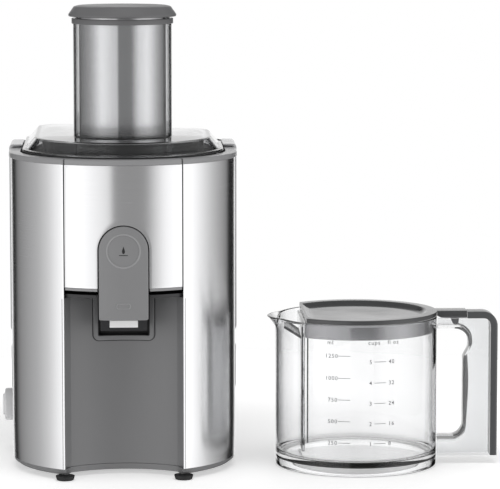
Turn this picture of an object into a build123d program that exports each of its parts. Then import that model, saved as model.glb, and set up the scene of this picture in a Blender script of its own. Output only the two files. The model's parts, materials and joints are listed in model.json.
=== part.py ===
from build123d import *
import os
from math import cos, radians, sin, sqrt

# Centrifugal juicer with its jug, in millimetres.
# Origin: on the standing plane, straight below the drive spindle. +Z is up,
# the front of the juicer looks along -Y, the speed knob is on the -X side
# and the jug stands on the +X side.

# ---- driving dimensions -------------------------------------------------
BODY_R = 96.5            # outside of the steel skin, front half circle and sides
STEEL = 0.8              # sheet thickness
WALL = 2.4               # moulded wall
PLAY = 0.4               # gap between pieces that part from each other
SKIN_TOP = 267.6         # top of the steel skin, underside of the rim
RIM_TOP = 272.2
RIM_R = 98.0
RIM_INNER = 88.0
SIDE_BACK = 99.6         # rear end of the straight sides
STEEL_BACK = 22.0        # the steel skin ends here, the side panels begin
SEAM_X = 49.5            # seams left and right of the front panel
SEAM_GAP = 0.6           # half of the seam's width
BASE_BOTTOM = 4.0
BASE_TOP = 9.0
PANEL_BOTTOM = 164.4     # lower edge of the front panel

FOOT_R = 7.3
FEET = [(-50, -80), (50, -80), (-64, 140), (64, 140)]

BAY_CENTRE_Y = -53.0     # concave wall behind the glass, at the middle
BAY_EDGE = (45.0, -68.0)  # where the concave wall meets the side returns
BAY_TOP = 154.5

ROCKER_W = 20.7          # half width of the spout rocker
ROCKER_EYE_Z = 196.2     # centre of its round top
ROCKER_BOTTOM = 138.0
ROCKER_PIVOT = (-89.0, 178.0)   # y, z
PIN_R = 1.5
PIN_BORE = 1.55

SHAFT_R = 4.0
MOTOR_R = 44.0
SEAT_Z = 171.0           # underside of the tray that carries the bowl

BOWL_R = 85.5
BOWL_FLOOR = 178.0
BASKET_FLOOR = 206.0
BASKET_TOP = 256.0

LID_Z = 272.6            # underside of the lid's flange
LID_EDGE_R = 86.4
PLATEAU_Z = 284.8
CHUTE_R = 42.3
CHUTE_BORE = 40.6
CHUTE_TOP = 386.0
CHUTE_FOOT = 216.0
CAP_Z = 387.5
CAP_TOP = 397.0
SLEEVE_R = 37.5
SLEEVE_FOOT = 286.0

CLAMP_Y = (34.0, 90.0)
CLAMP_AXIS = (93.0, 115.0)      # |x|, z of the hinge
CLAMP_FACE = 99.0
PANEL_FACE = 95.4        # side panel surface under the clamp

KNOB_YZ = (58.0, 42.0)
KNOB_R = 14.4
KNOB_FACE = 107.3

CONTAINER_FRONT = 101.6
CONTAINER_BACK = 172.0
CONTAINER_HALF = 94.5
CONTAINER_TOP = 270.2

JUG = (200.8, -11.0)     # jug axis, x and y
JUG_R = 70.0
JUG_WALL = 2.6
JUG_H = 130.0
JUG_FLOOR = (8.5, 11.5)
HANDLE_OUT = 116.0       # all handle places are measured from the jug axis
HANDLE_HALF = 9.0
TRIM_OUT = 122.2
TAIL_END = 95.3          # the jug lid's tail ends here, the trim strip begins
LID_CHORD = -46.0        # the jug lid is open on the pouring side of this line


# ---- small helpers ------------------------------------------------------
def block(x0, x1, y0, y1, z0, z1):
    """Box between two corners."""
    centre = Pos((x0 + x1) / 2, (y0 + y1) / 2, (z0 + z1) / 2)
    return centre * Box(x1 - x0, y1 - y0, z1 - z0)


def rod(r, z0, z1, x=0.0, y=0.0):
    """Upright cylinder."""
    return Pos(x, y, (z0 + z1) / 2) * Cylinder(r, z1 - z0)


def ring(r_out, r_in, z0, z1, x=0.0, y=0.0):
    """Upright tube."""
    return rod(r_out, z0, z1, x, y) - rod(r_in, z0 - 1, z1 + 1, x, y)


def rod_x(r, x0, x1, y, z):
    """Cylinder along X."""
    return Pos((x0 + x1) / 2, y, z) * Rot(0, 90, 0) * Cylinder(r, x1 - x0)


def rod_y(r, y0, y1, x, z):
    """Cylinder along Y."""
    return Pos(x, (y0 + y1) / 2, z) * Rot(90, 0, 0) * Cylinder(r, y1 - y0)


def prism_y(points, y0, y1):
    """Outline of (x, z) points carried along Y."""
    wire = Wire.make_polygon([(x, y0, z) for x, z in points], close=True)
    return extrude(Face(wire), amount=y1 - y0, dir=(0, 1, 0))


def prism_x(points, x0, x1):
    """Outline of (y, z) points carried along X."""
    wire = Wire.make_polygon([(x0, y, z) for y, z in points], close=True)
    return extrude(Face(wire), amount=x1 - x0, dir=(1, 0, 0))


def slab(face, z0, z1):
    """Plan outline carried from z0 up to z1."""
    return extrude(Pos(0, 0, z0) * face, amount=z1 - z0, dir=(0, 0, 1))


def turned(points, x=0.0, y=0.0):
    """Solid turned about an upright axis from (radius, z) points."""
    wire = Wire.make_polygon([(r, 0, z) for r, z in points], close=True)
    return Pos(x, y, 0) * revolve(Face(wire), Axis.Z)


def mirrored(shape):
    """The same shape on the other side."""
    return mirror(shape, about=Plane.YZ)


def d_plan(r, y_back):
    """Plan of the housing: half circle at the front, straight sides to y_back."""
    front = ThreePointArc((-r, 0), (0, -r), (r, 0))
    rest = Polyline((r, 0), (r, y_back), (-r, y_back), (-r, 0))
    return Face(Wire([front] + list(rest.edges())))


def corner(cx, cy, r, side):
    """Quarter arc of a rear corner, side -1 or 1, from the side to the back."""
    mid = (cx + side * r * cos(radians(45)), cy + r * sin(radians(45)))
    return ThreePointArc((cx + side * r, cy), mid, (cx, cy + r))


def rear_plan(w, y0, y1, r):
    """Plan of the pulp container: straight front, large rear corners."""
    left = corner(-w + r, y1 - r, r, -1)
    right = corner(w - r, y1 - r, r, 1)
    edges = [
        Line((-w, y0), (-w, y1 - r)),
        left,
        Line((-w + r, y1), (w - r, y1)),
        right,
        Line((w, y1 - r), (w, y0)),
        Line((w, y0), (-w, y0)),
    ]
    return Face(Wire(edges))


def bay_plan(grow):
    """Plan of the glass bay, grown outwards into the housing by grow."""
    x1 = SEAM_X + grow
    x2 = BAY_EDGE[0] + grow
    y2 = BAY_EDGE[1] + grow
    front = -BODY_R - 20
    back = ThreePointArc((-x2, y2), (0, BAY_CENTRE_Y + grow), (x2, y2))
    rest = Polyline((x2, y2), (x1, -83.5), (x1, front), (-x1, front), (-x1, -83.5), (-x2, y2))
    return Face(Wire([back] + list(rest.edges())))


def volute_plan(r, y_right, y_left, c, z):
    """Outline of the lid's dome: half circle in front, pulp outlet rear left."""
    edges = [
        ThreePointArc((-r, 0), (0, -r), (r, 0)),
        Line((r, 0), (r, y_right - c)),
        corner(r - c, y_right - c, c, 1),
        Line((r - c, y_right), (c - r, y_left)),
        corner(c - r, y_left - c, c, -1),
        Line((-r, y_left - c), (-r, 0)),
    ]
    return Pos(0, 0, z) * Face(Wire(edges))


def keyhole(half, z0, y0, y1):
    """Round-topped outline of the spout rocker, carried along Y."""
    plate = block(-half, half, y0, y1, z0, ROCKER_EYE_Z)
    return plate + rod_y(half, y0, y1, 0, ROCKER_EYE_Z)


def front_cut(x, z0, z1):
    """Everything in front of the spindle between -x and x."""
    return block(-x, x, -RIM_R - 10, 0, z0, z1)


# ---- housing ------------------------------------------------------------
SCREWS = [(-80, -35), (80, -35), (-70, 91), (70, 91)]


def base_plate():
    """Bottom tray with the skirt that shows under the steel, and the shelf of
    the pulp container."""
    low = slab(d_plan(92.5, 100.5), BASE_BOTTOM, 6)
    low += slab(rear_plan(91.5, 99, 170, 56), BASE_BOTTOM, 6)
    top = slab(d_plan(95.2, 100.5), 6, BASE_TOP)
    top += slab(rear_plan(CONTAINER_HALF, 99, CONTAINER_BACK, 58), 6, BASE_TOP)
    tray = low + top - slab(d_plan(90, 96), 7, BASE_TOP + 1)
    rail = slab(bay_plan(4), 6, BASE_TOP) & slab(d_plan(94, 10), 6, BASE_TOP)
    tray = tray + rail - slab(bay_plan(0), 0, BASE_TOP + 1)
    for row in range(7):
        y = -18 + row * 8
        tray -= block(-30, 30, y, y + 3, 0, 8)
    for x, y in SCREWS:
        tray -= rod(4.2, 0, 6, x, y) + rod(2.1, 0, 10, x, y)
    return tray


def foot_pads():
    """Four rubber feet."""
    feet = []
    for x, y in FEET:
        profile = [(0, 0), (FOOT_R - 0.8, 0), (FOOT_R, 0.8), (FOOT_R + 0.9, BASE_BOTTOM), (0, BASE_BOTTOM)]
        feet.append(turned(profile, x, y))
    return Compound(children=feet)


def base_screws():
    """Four screws that hold the base plate to the housing posts."""
    screws = []
    for x, y in SCREWS:
        head = rod(4.0, 4.4, 6, x, y) - block(x - 3, x + 3, y - 0.5, y + 0.5, 4, 5.2)
        screws.append(head + rod(1.95, 6, 20, x, y))
    return Compound(children=screws)


def recess_wall():
    """Concave wall behind the glass, with side returns and the spout pocket."""
    z0, z1 = BASE_TOP + 0.2, BAY_TOP
    wall = slab(bay_plan(2.5), z0, z1) - slab(bay_plan(0), z0 - 1, z1 + 1)
    wall = wall & slab(d_plan(95.5, 10), z0, z1)
    return wall - block(-21.4, 21.4, -80, -40, 119.7, z1 + 1)


def recess_frame():
    """Raised U-shaped frame round the spout pocket."""
    z0, z1 = 115.4, BAY_TOP
    skin = slab(bay_plan(0), z0, z1) - slab(bay_plan(-1.6), z0 - 1, z1 + 1)
    outline = block(-25.9, 25.9, -70, -40, z0, z1)
    low_edges = outline.edges().filter_by(Axis.Y).group_by(Axis.Z)[0]
    outline = fillet(low_edges, 4)
    return (skin & outline) - block(-21.4, 21.4, -80, -40, 119.7, z1 + 1)


def pocket_liner():
    """Dark box that closes the spout pocket towards the motor."""
    shell = block(-23.4, 23.4, -50.4, -45, 117.7, BAY_TOP)
    return shell - block(-21.6, 21.6, -60, -46.5, 119.7, BAY_TOP + 1)


def main_housing():
    """Inner moulding: side arcs, bowl tray, bay ceiling, rear wall, posts."""
    z0, z1 = BASE_TOP + 0.2, SKIN_TOP - 0.2
    clear = SEAM_X + 2.8
    arcs = slab(d_plan(95.5, STEEL_BACK), z0, z1) - slab(d_plan(93.1, 30), z0 - 1, z1 + 1)
    arcs -= front_cut(clear, z0 - 1, z1 + 1)
    tray = slab(d_plan(93.4, 96.4), SEAT_Z, SEAT_Z + 3)
    tray -= block(-91.5 - 10, -91.5, STEEL_BACK, 110, SEAT_Z - 1, SEAT_Z + 4)
    tray -= block(91.5, 91.5 + 10, STEEL_BACK, 110, SEAT_Z - 1, SEAT_Z + 4)
    tray -= block(-clear, clear, -110, -50, SEAT_Z - 1, SEAT_Z + 4)
    riser = block(-clear, clear, -52.5, -50, 156, SEAT_Z + 3)
    ceiling = slab(d_plan(93.4, 0.5), 156, 158.5) & block(-clear - 2, clear + 2, -110, -50, 150, 160)
    ceiling -= block(-23, 23, -110, -54, 150, 160)
    rear = block(-91.4, 91.4, 96.2, SIDE_BACK, z0, z1)
    body = arcs + tray + riser + ceiling + rear
    for x, y in SCREWS:
        body += rod(6.0, z0, 40, x, y)
        body -= rod(2.0, 0, 22, x, y)
    body -= rod(20.05, SEAT_Z - 1, SEAT_Z + 4)
    return body


def steel_wrap(side):
    """Brushed steel skin on one side, side -1 or 1."""
    z0, z1 = BASE_TOP, SKIN_TOP - 0.1
    skin = slab(d_plan(BODY_R, STEEL_BACK), z0, z1)
    skin -= slab(d_plan(BODY_R - STEEL, STEEL_BACK + 10), z0 - 1, z1 + 1)
    skin -= front_cut(SEAM_X + SEAM_GAP, z0 - 1, z1 + 1)
    far = RIM_R + 10
    half = block(0, far, -far, far, z0 - 1, z1 + 1)
    if side < 0:
        half = mirrored(half)
    return skin & half


def side_panel():
    """Right side panel with the clamp's hinge trough and boss."""
    y0, y1 = STEEL_BACK + 0.8, SIDE_BACK
    ax, az = CLAMP_AXIS
    outline = [
        (91.6, BASE_TOP + 0.2), (96.6, BASE_TOP + 0.2), (96.6, 58), (97.9, 64), (97.9, 99),
        (PANEL_FACE, 106), (PANEL_FACE, SKIN_TOP - 0.2), (91.6, SKIN_TOP - 0.2),
    ]
    panel = prism_y(outline, y0, y1)
    panel += block(84.5, 92, CLAMP_Y[0] - 8, CLAMP_Y[1] + 6, az - 9, az + 9)
    panel -= rod_y(6.4, CLAMP_Y[0] - 0.5, CLAMP_Y[1] + 0.5, ax, az)
    panel -= rod_y(PIN_R, CLAMP_Y[0] - 7, CLAMP_Y[1] + 7, ax, az)
    return panel


def side_panel_left():
    """Left side panel, with the hole of the knob's shaft."""
    y, z = KNOB_YZ
    return mirrored(side_panel()) - rod_x(4.2, -100, -90, y, z)


GLAND_YZ = (85.0, 30.0)


def side_panel_right():
    """Right side panel, with the hole of the cord gland."""
    y, z = GLAND_YZ
    return side_panel() - rod_x(6.5, 90, 100, y, z)


def cord_gland():
    """Flanged sleeve that a mains lead enters through."""
    y, z = GLAND_YZ
    sleeve = rod_x(6.5, 88, 96.8, y, z) + rod_x(8.6, 96.6, 98.2, y, z)
    return sleeve - rod_x(3.6, 80, 100, y, z)


def clamp_pins():
    """Hinge pins of the two clamps, fixed in the side panels."""
    ax, az = CLAMP_AXIS
    pin = rod_y(PIN_R, CLAMP_Y[0] - 6.8, CLAMP_Y[1] + 6.8, ax, az)
    return Compound(children=[pin, mirrored(pin)])


def rim_deck():
    """Flat rim on top of the sides and back, notched for the clamps."""
    z0, z1 = SKIN_TOP, RIM_TOP
    deck = slab(d_plan(RIM_R, SIDE_BACK), z0, z1) - slab(d_plan(RIM_INNER, 91), z0 - 1, z1 + 1)
    deck -= front_cut(SEAM_X + SEAM_GAP, z0 - 1, z1 + 1)
    notch = block(PANEL_FACE, RIM_R + 5, CLAMP_Y[0] - 0.5, CLAMP_Y[1] + 0.5, z0 - 1, z1 + 1)
    pocket = block(RIM_INNER - 2, 90.4, 4, 28, z0 + 1.5, z1 + 1)
    return deck - notch - mirrored(notch) - pocket - mirrored(pocket)


# ---- drive --------------------------------------------------------------
BOLTS = [(-33, -33), (33, -33), (-33, 33), (33, 33)]


def bracket(z0, z1):
    """Bearing bracket with four ears."""
    plate = rod(MOTOR_R, z0, z1)
    for x, y in BOLTS:
        plate += rod(5.5, z0, z1, x, y)
        plate -= rod(2.0, z0 - 1, z1 + 1, x, y)
    for x, y in ((0, 27), (0, -27), (27, 0), (-27, 0)):
        plate -= rod(8, z0 - 1, z1 + 1, x, y)
    return plate - rod(11, z0 - 1, z1 + 1)


def motor_bolts():
    """Four long bolts between the brackets."""
    return Compound(children=[rod(2.0, 64, 156, x, y) for x, y in BOLTS])


def motor_dampers():
    """Rubber dampers between the motor and the tray."""
    return Compound(children=[rod(6.0, 156, SEAT_Z, x, y) for x, y in BOLTS])


def motor_stator():
    """Laminated stator ring with two pole shoes."""
    core = ring(MOTOR_R - 2, 36, 84, 140)
    poles = ring(36.2, 24, 84, 140) & (block(-40, 40, -16, 16, 80, 150))
    stator = core + poles
    for x, y in BOLTS:
        stator -= rod(3.0, 80, 150, x, y)
    return stator


def stator_coils():
    """Copper windings above and below the pole shoes."""
    coils = []
    for side in (-1, 1):
        x0, x1 = sorted((side * 25.5, side * 30))
        loop = block(x0, x1, -19.4, 19.4, 79, 145) - block(x0 - 1, x1 + 1, -16, 16, 84, 140)
        coils.append(loop)
    return Compound(children=coils)


def brush_holders():
    """Two carbon brush holders beside the commutator."""
    left = block(-25, -13.6, -4, 4, 145.5, 149.5)
    return Compound(children=[left, mirrored(left)])


def shaft_bearings():
    """Ball bearings in the two brackets."""
    low = ring(11, SHAFT_R + 0.05, 67, 73)
    high = ring(11, SHAFT_R + 0.05, 150, 156)
    return Compound(children=[low, high])


def shaft_seal():
    """Rubber seal in the tray round the spindle."""
    lip = ring(20, SHAFT_R + 0.3, SEAT_Z, SEAT_Z + 3)
    return lip + ring(9, SHAFT_R + 0.3, SEAT_Z, SEAT_Z + 6)


def motor_rotor():
    """Slotted rotor pack with windings."""
    pack = rod(23.4, 84, 140)
    for i in range(12):
        slot = block(19, 24, -1, 1, 80, 150)
        pack -= Rot(0, 0, i * 30) * slot
    return pack - rod(SHAFT_R, 80, 150)


def commutator():
    """Copper commutator with its segment slots."""
    drum = ring(13, SHAFT_R, 141, 149.5)
    for i in range(16):
        drum -= Rot(0, 0, i * 22.5) * block(12, 14, -0.4, 0.4, 144, 150)
    return drum


def motor_shaft():
    """Spindle from the fan to the coupling."""
    return rod(SHAFT_R, 50, 196)


def cooling_fan():
    """Radial fan on the spindle's lower end."""
    fan = ring(36, SHAFT_R, 52, 54) + ring(9, SHAFT_R, 52, 62)
    for i in range(11):
        blade = Rot(0, 0, i * 360 / 11) * block(8.5, 35, -0.8, 0.8, 53.5, 61)
        fan += blade
    return fan


def drive_coupling():
    """Six-lobed driver that the filter basket sits on."""
    driver = rod(8.5, 188, 204)
    for i in range(6):
        driver += rod(2.6, 188, 202, 8.2 * cos(radians(60 * i)), 8.2 * sin(radians(60 * i)))
    return driver - rod(SHAFT_R, 187, 196)


# ---- controls inside ----------------------------------------------------
def speed_switch():
    """Rotary switch block behind the knob."""
    y, z = KNOB_YZ
    block_body = block(-86, -68, y - 13, y + 13, z - 13, z + 13)
    bush = rod_x(6, -90, -86, y, z)
    return block_body + bush - rod_x(3.05, -91, -74, y, z)


def control_board():
    """Speed control circuit board on the rear wall."""
    return block(-45, 45, 92.5, 94.1, 26, 104)


def board_parts():
    """Capacitor, choke and triac block on the board."""
    can = rod_y(9, 74, 92.5, -24, 80)
    coil = rod_y(11, 82, 92.5, 12, 56)
    chip = block(20, 36, 84, 92.5, 84, 98)
    return Compound(children=[can, coil, chip])


def interlock_switch():
    """Safety switch under the rim by the right clamp."""
    return block(76, 90, 62, 78, 244, 261) + rod(2.0, 261, 264, 84, 70)


# ---- knob ---------------------------------------------------------------
def speed_knob():
    """Turned knob with a finger bar across its face."""
    y, z = KNOB_YZ
    profile = [
        (0, 97.2), (KNOB_R, 97.2), (KNOB_R, 103.6), (KNOB_R - 1.4, 105.2), (KNOB_R - 3.4, 105.2),
        (KNOB_R - 4.2, 104.4), (0, 104.4),
    ]
    wire = Wire.make_polygon([(r, 0, h) for r, h in profile], close=True)
    drum = Pos(0, y, z) * Rot(0, -90, 0) * revolve(Face(wire), Axis.Z)
    bar = block(-KNOB_FACE, -104, y - 2.6, y + 2.6, z - 9.4, z + 9.4)
    return drum + bar - rod_x(3.0, -101, -96, y, z)


def knob_shaft():
    """Switch shaft between the knob and the switch block."""
    y, z = KNOB_YZ
    return rod_x(3.0, -101, -75, y, z)


# ---- clamps -------------------------------------------------------------
def clamp():
    """Right clamp: round knuckle at the bottom, plate, head over the rim."""
    ax, az = CLAMP_AXIS
    y0, y1 = CLAMP_Y
    inner = PANEL_FACE + PLAY
    top = RIM_TOP + 2.6
    knuckle = rod_y(6.0, y0, y1, ax, az)
    plate = prism_y([(inner, az), (CLAMP_FACE, az), (CLAMP_FACE, top - 2), (CLAMP_FACE - 2, top),
                     (87.3, top), (87.3, RIM_TOP + PLAY), (inner, RIM_TOP + PLAY)], y0, y1)
    scoop = prism_y([(CLAMP_FACE - 0.6, 240), (CLAMP_FACE + 1, 238), (CLAMP_FACE + 1, 250)], y0 + 14, y1 - 14)
    return knuckle + plate - scoop - rod_y(PIN_BORE, y0 - 1, y1 + 1, ax, az)


# ---- juice collector ----------------------------------------------------
def collector_bowl():
    """Bowl with a sleeve round the spindle, a flange and the pin lugs."""
    outer = turned([(0, BOWL_FLOOR), (78, BOWL_FLOOR), (BOWL_R, 188), (BOWL_R, 264), (87.2, 264),
                    (87.2, SKIN_TOP - 0.1), (0, SKIN_TOP - 0.1)])
    inner = turned([(0, 180.6), (77, 180.6), (83, 189), (83, 280), (0, 280)])
    sleeve = ring(24, 21.5, BOWL_FLOOR, 201)
    bowl = outer - inner + sleeve - rod(21.5, 170, 190)
    shelf = slab(d_plan(92.4, 0.5), 264, SKIN_TOP - 0.1) - rod(86, 260, 270)
    bowl += shelf & front_cut(SEAM_X - SEAM_GAP, 260, 270)
    y, z = ROCKER_PIVOT
    for x0, x1 in ((-20.4, -17.8), (17.8, 20.4)):
        lug = prism_x([(-91, z - 4), (-91, z + 4), (-81, z + 13), (-81, z + 0.5)], x0, x1)
        bowl += lug - rod(84, 170, 262)
    bowl -= rod_x(PIN_R, -21, 21, y, z)
    return bowl - block(-13.5, 13.5, -69, -59.5, 170, 182)


def spout_duct():
    """Rectangular duct from the bowl floor down to the spout mouth."""
    z0 = 127.0
    duct = block(-16, 16, -71.5, -57, z0, BOWL_FLOOR)
    duct -= block(-13.5, 13.5, -69, -59.5, z0 + 2.2, BOWL_FLOOR + 1)
    return duct - block(-10.5, 10.5, -75, -65, z0 + 2.2, 134)


def collector_rim():
    """Front piece of the rim, which lifts off with the bowl."""
    z0, z1 = SKIN_TOP, RIM_TOP
    arc = slab(d_plan(RIM_R, 1), z0, z1) - slab(d_plan(RIM_INNER, 2), z0 - 1, z1 + 1)
    return arc & front_cut(SEAM_X - SEAM_GAP, z0, z1)


def front_backing():
    """Moulding behind the front steel panel, with its lower lip."""
    z0, z1 = PANEL_BOTTOM - 2.5, SKIN_TOP - 0.1
    arc = slab(d_plan(BODY_R - STEEL - 0.1, 1), z0, z1) - slab(d_plan(92.6, 2), z0 - 1, z1 + 1)
    lip = slab(d_plan(BODY_R + 0.5, 1), z0, PANEL_BOTTOM - 0.1) - slab(d_plan(92.6, 2), z0 - 1, z1)
    piece = (arc + lip) & front_cut(SEAM_X - SEAM_GAP, z0 - 1, z1 + 1)
    return piece - keyhole(ROCKER_W + 1.4, 150, -105, -80)


def front_panel():
    """Brushed steel front panel."""
    z0, z1 = PANEL_BOTTOM, SKIN_TOP - 0.1
    skin = slab(d_plan(BODY_R, 1), z0, z1) - slab(d_plan(BODY_R - STEEL, 2), z0 - 1, z1 + 1)
    skin = skin & front_cut(SEAM_X - SEAM_GAP, z0 - 1, z1 + 1)
    return skin - keyhole(ROCKER_W + 0.6, 150, -105, -80)


def rocker_pin():
    """Pivot pin of the spout rocker."""
    y, z = ROCKER_PIVOT
    return rod_x(PIN_R, -20.4, 20.4, y, z)


def spout_rocker():
    """Curved rocker with a finger dish at its round top."""
    y, z = ROCKER_PIVOT
    plate = slab(d_plan(98.4, 1), ROCKER_BOTTOM, 220) - slab(d_plan(94.0, 2), 130, 230)
    plate = plate & keyhole(ROCKER_W, ROCKER_BOTTOM, -105, -80)
    dish_r = 70.0
    dish = Pos(0, -98.4 - sqrt(dish_r**2 - 14.6**2) + 0.9, ROCKER_EYE_Z) * Sphere(dish_r)
    plate -= dish
    for x0, x1 in ((-17.2, -14.2), (14.2, 17.2)):
        ear = block(x0, x1, -93.5, -85.8, z - 5, z + 5)
        plate += ear
    return plate - rod_x(PIN_BORE, -18, 18, y, z)


def rocker_arm():
    """Arm behind the rocker that carries the valve pad."""
    plate = block(-19.5, 19.5, -76, -73.6, 126.3, 150)
    link = block(-8, 8, -93.4, -75, 147, 150)
    return plate + link - block(-11.9, 11.9, -80, -70, 129.1, 135.1)


def valve_pad():
    """Soft pad that closes the spout mouth."""
    return block(-11.9, 11.9, -76.6, -71.8, 129.1, 135.1)


# ---- filter basket ------------------------------------------------------
def basket_hub():
    """Moulded hub: floor, drive socket and splash skirt."""
    floor = rod(50.5, BASKET_FLOOR, BASKET_FLOOR + 3)
    socket = rod(17, 190, BASKET_FLOOR + 1) - rod(11.4, 189, 204.6)
    skirt = ring(29.5, 27, 196, BASKET_FLOOR + 1)
    return floor + socket + skirt


def grater_disc():
    """Steel grater with rows of cutting teeth."""
    disc = rod(47.5, BASKET_FLOOR + 3, BASKET_FLOOR + 4)
    for row in range(4):
        r = 14 + 9 * row
        count = 8 + 4 * row
        for i in range(count):
            turn = Rot(0, 0, i * 360 / count + row * 11)
            tooth = block(r, r + 2.6, -0.7, 0.7, BASKET_FLOOR + 3.5, BASKET_FLOOR + 5.2)
            disc += turn * tooth
    return disc


def filter_basket():
    """Conical sieve wall of the basket."""
    return turned([(50.5, BASKET_FLOOR), (51.5, BASKET_FLOOR), (63.0, BASKET_TOP), (62.0, BASKET_TOP)])


def basket_ring():
    """Moulded ring round the top of the sieve."""
    return turned([(60.5, BASKET_TOP), (65.0, BASKET_TOP - 3), (66.0, BASKET_TOP - 3), (66.0, BASKET_TOP + 3.5),
                   (60.5, BASKET_TOP + 3.5)]) - turned(
        [(0, BASKET_TOP - 9), (61.0, BASKET_TOP - 9), (63.1, BASKET_TOP), (0, BASKET_TOP)])


# ---- lid and pusher -----------------------------------------------------
def lid_cover():
    """Clear lid: flange, sloping skirt, raised dome and feed chute in one."""
    flange = slab(rear_plan(LID_EDGE_R, 0, 158, 50), LID_Z, LID_Z + 2) + rod(LID_EDGE_R, LID_Z, LID_Z + 2)
    z1 = PLATEAU_Z
    dome = loft([volute_plan(84, 92, 150, 26, LID_Z + 1), volute_plan(75.5, 85, 139, 22, z1)], ruled=True)
    hollow = loft([volute_plan(81.6, 89.4, 147.6, 24, LID_Z - 1), volute_plan(73.2, 82.8, 136.8, 20, z1 - 2.2)],
                  ruled=True)
    lid = flange + dome - hollow
    baffle = ring(69.4, 67.8, 261, z1 - 1)
    baffle -= block(-80, 5, 5, 90, 250, 290)
    lid += baffle
    lid += rod(CHUTE_R, CHUTE_FOOT, CHUTE_TOP)
    return lid - rod(CHUTE_BORE, CHUTE_FOOT - 1, CHUTE_TOP + 1)


def chute_ring():
    """Grey band round the mouth of the chute."""
    return ring(CHUTE_R + 1.2, CHUTE_R, 381.4, CHUTE_TOP)


def pusher_cap():
    """Bevelled cap of the pusher."""
    return turned([(0, CAP_Z), (45.6, CAP_Z), (46.4, CAP_Z + 0.9), (46.0, CAP_Z + 2.2), (41.6, CAP_TOP - 1.6),
                   (40.2, CAP_TOP - 0.7), (20, CAP_TOP - 0.1), (0, CAP_TOP)])


def pusher_sleeve():
    """Brushed steel sleeve of the pusher."""
    return ring(SLEEVE_R, SLEEVE_R - STEEL, SLEEVE_FOOT, CAP_Z)


def pusher_core():
    """Moulded core with the food plunger at its lower end."""
    foot = 213.0
    core_r = SLEEVE_R - STEEL
    outer = turned([(0, foot), (37.5, foot), (39.6, foot + 2), (39.6, SLEEVE_FOOT), (core_r, SLEEVE_FOOT),
                    (core_r, CAP_Z), (0, CAP_Z)])
    return outer - rod(core_r - WALL, foot + 4, CAP_Z + 1)


# ---- pulp container -----------------------------------------------------
def pulp_container():
    """Rear pulp container with a finger ledge at the back."""
    z0, z1 = BASE_TOP + 0.6, CONTAINER_TOP
    outer = slab(rear_plan(CONTAINER_HALF, CONTAINER_FRONT, CONTAINER_BACK, 58), z0, z1)
    inner = slab(rear_plan(CONTAINER_HALF - 2.2, CONTAINER_FRONT + 2.2, CONTAINER_BACK - 2.2, 55.8), z0 + 2.5, z1 + 1)
    ledge = prism_x([(CONTAINER_BACK - 1, 214), (CONTAINER_BACK - 1, 236), (CONTAINER_BACK + 6, 236),
                     (CONTAINER_BACK + 6, 233)], -30, 30)
    return outer - inner + ledge


# ---- jug ----------------------------------------------------------------
def handle_profile(points, half):
    """(x, z) outline about the jug axis, carried across the handle."""
    jx, jy = JUG
    return Pos(jx, 0, 0) * prism_y(points, jy - half, jy + half)


def jug_handle():
    """Clear handle channel, open towards the trim strip."""
    jx, jy = JUG
    top, low = 127.2, 6.8
    body = handle_profile([(66, low), (HANDLE_OUT, low), (HANDLE_OUT, top - 6), (HANDLE_OUT - 6, top), (66, top)],
                          HANDLE_HALF)
    gap = handle_profile([(60, 24.3), (82, 24.3), (90, 28), (92.8, 36.4), (92.8, 93), (95.6, 98.5), (97.3, 105),
                          (95, 112), (90.5, 116.6), (85, 118), (60, 118)], HANDLE_HALF + 1)
    channel = handle_profile([(74, 9.5), (HANDLE_OUT + 1, 9.5), (HANDLE_OUT + 1, top - 6), (HANDLE_OUT - 4, top - 2.4),
                              (74, top - 2.4), (74, 120.4), (86, 120.4), (93, 118.4), (98.4, 113), (100, 105),
                              (98.2, 97.4), (95.6, 92.5), (95.6, 35.4), (92.4, 26), (83, 21.8), (74, 21.8)],
                             HANDLE_HALF - 2.4)
    slot = block(jx + 80.5, jx + 91, jy - 4.5, jy + 4.5, 118, 130)
    return body - gap - channel - slot


def jug_body():
    """Clear jug: wall, raised floor, pouring lip and handle channel."""
    jx, jy = JUG
    inner = JUG_R - JUG_WALL
    floor0, floor1 = JUG_FLOOR
    outer = turned([(0, 0), (JUG_R - 1.2, 0), (JUG_R, 1.2), (JUG_R, JUG_H), (0, JUG_H)], jx, jy)
    lip = loft([Pos(jx - 40, jy, 116) * Circle(29.5), Pos(jx - 44.5, jy, JUG_H) * Circle(31.5)])
    lip_bore = loft([Pos(jx - 40, jy, 116) * Circle(29.5 - JUG_WALL),
                     Pos(jx - 44.5, jy, JUG_H + 0.01) * Circle(31.5 - JUG_WALL)])
    body = outer + lip + jug_handle()
    body -= turned([(0, floor1), (inner - 4, floor1), (inner, floor1 + 4), (inner, JUG_H + 1), (0, JUG_H + 1)], jx, jy)
    body -= turned([(0, -1), (JUG_R - 4, -1), (JUG_R - 4.6, floor0), (0, floor0)], jx, jy)
    return body - lip_bore


def handle_trim():
    """Dark strip over the handle's top corner and down its back."""
    top, low = 133.0, 7.2
    inner_top = top - 5.7
    first = TAIL_END + 0.5
    outline = [(first, inner_top), (first, top), (TRIM_OUT - 11.3, top), (TRIM_OUT - 5.7, 131.4),
               (TRIM_OUT - 1.5, 127.2), (TRIM_OUT, 121.7), (TRIM_OUT, low), (HANDLE_OUT + 0.1, low),
               (HANDLE_OUT + 0.1, 121.3), (HANDLE_OUT - 5.9, inner_top)]
    return handle_profile(outline, HANDLE_HALF + 1)


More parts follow.
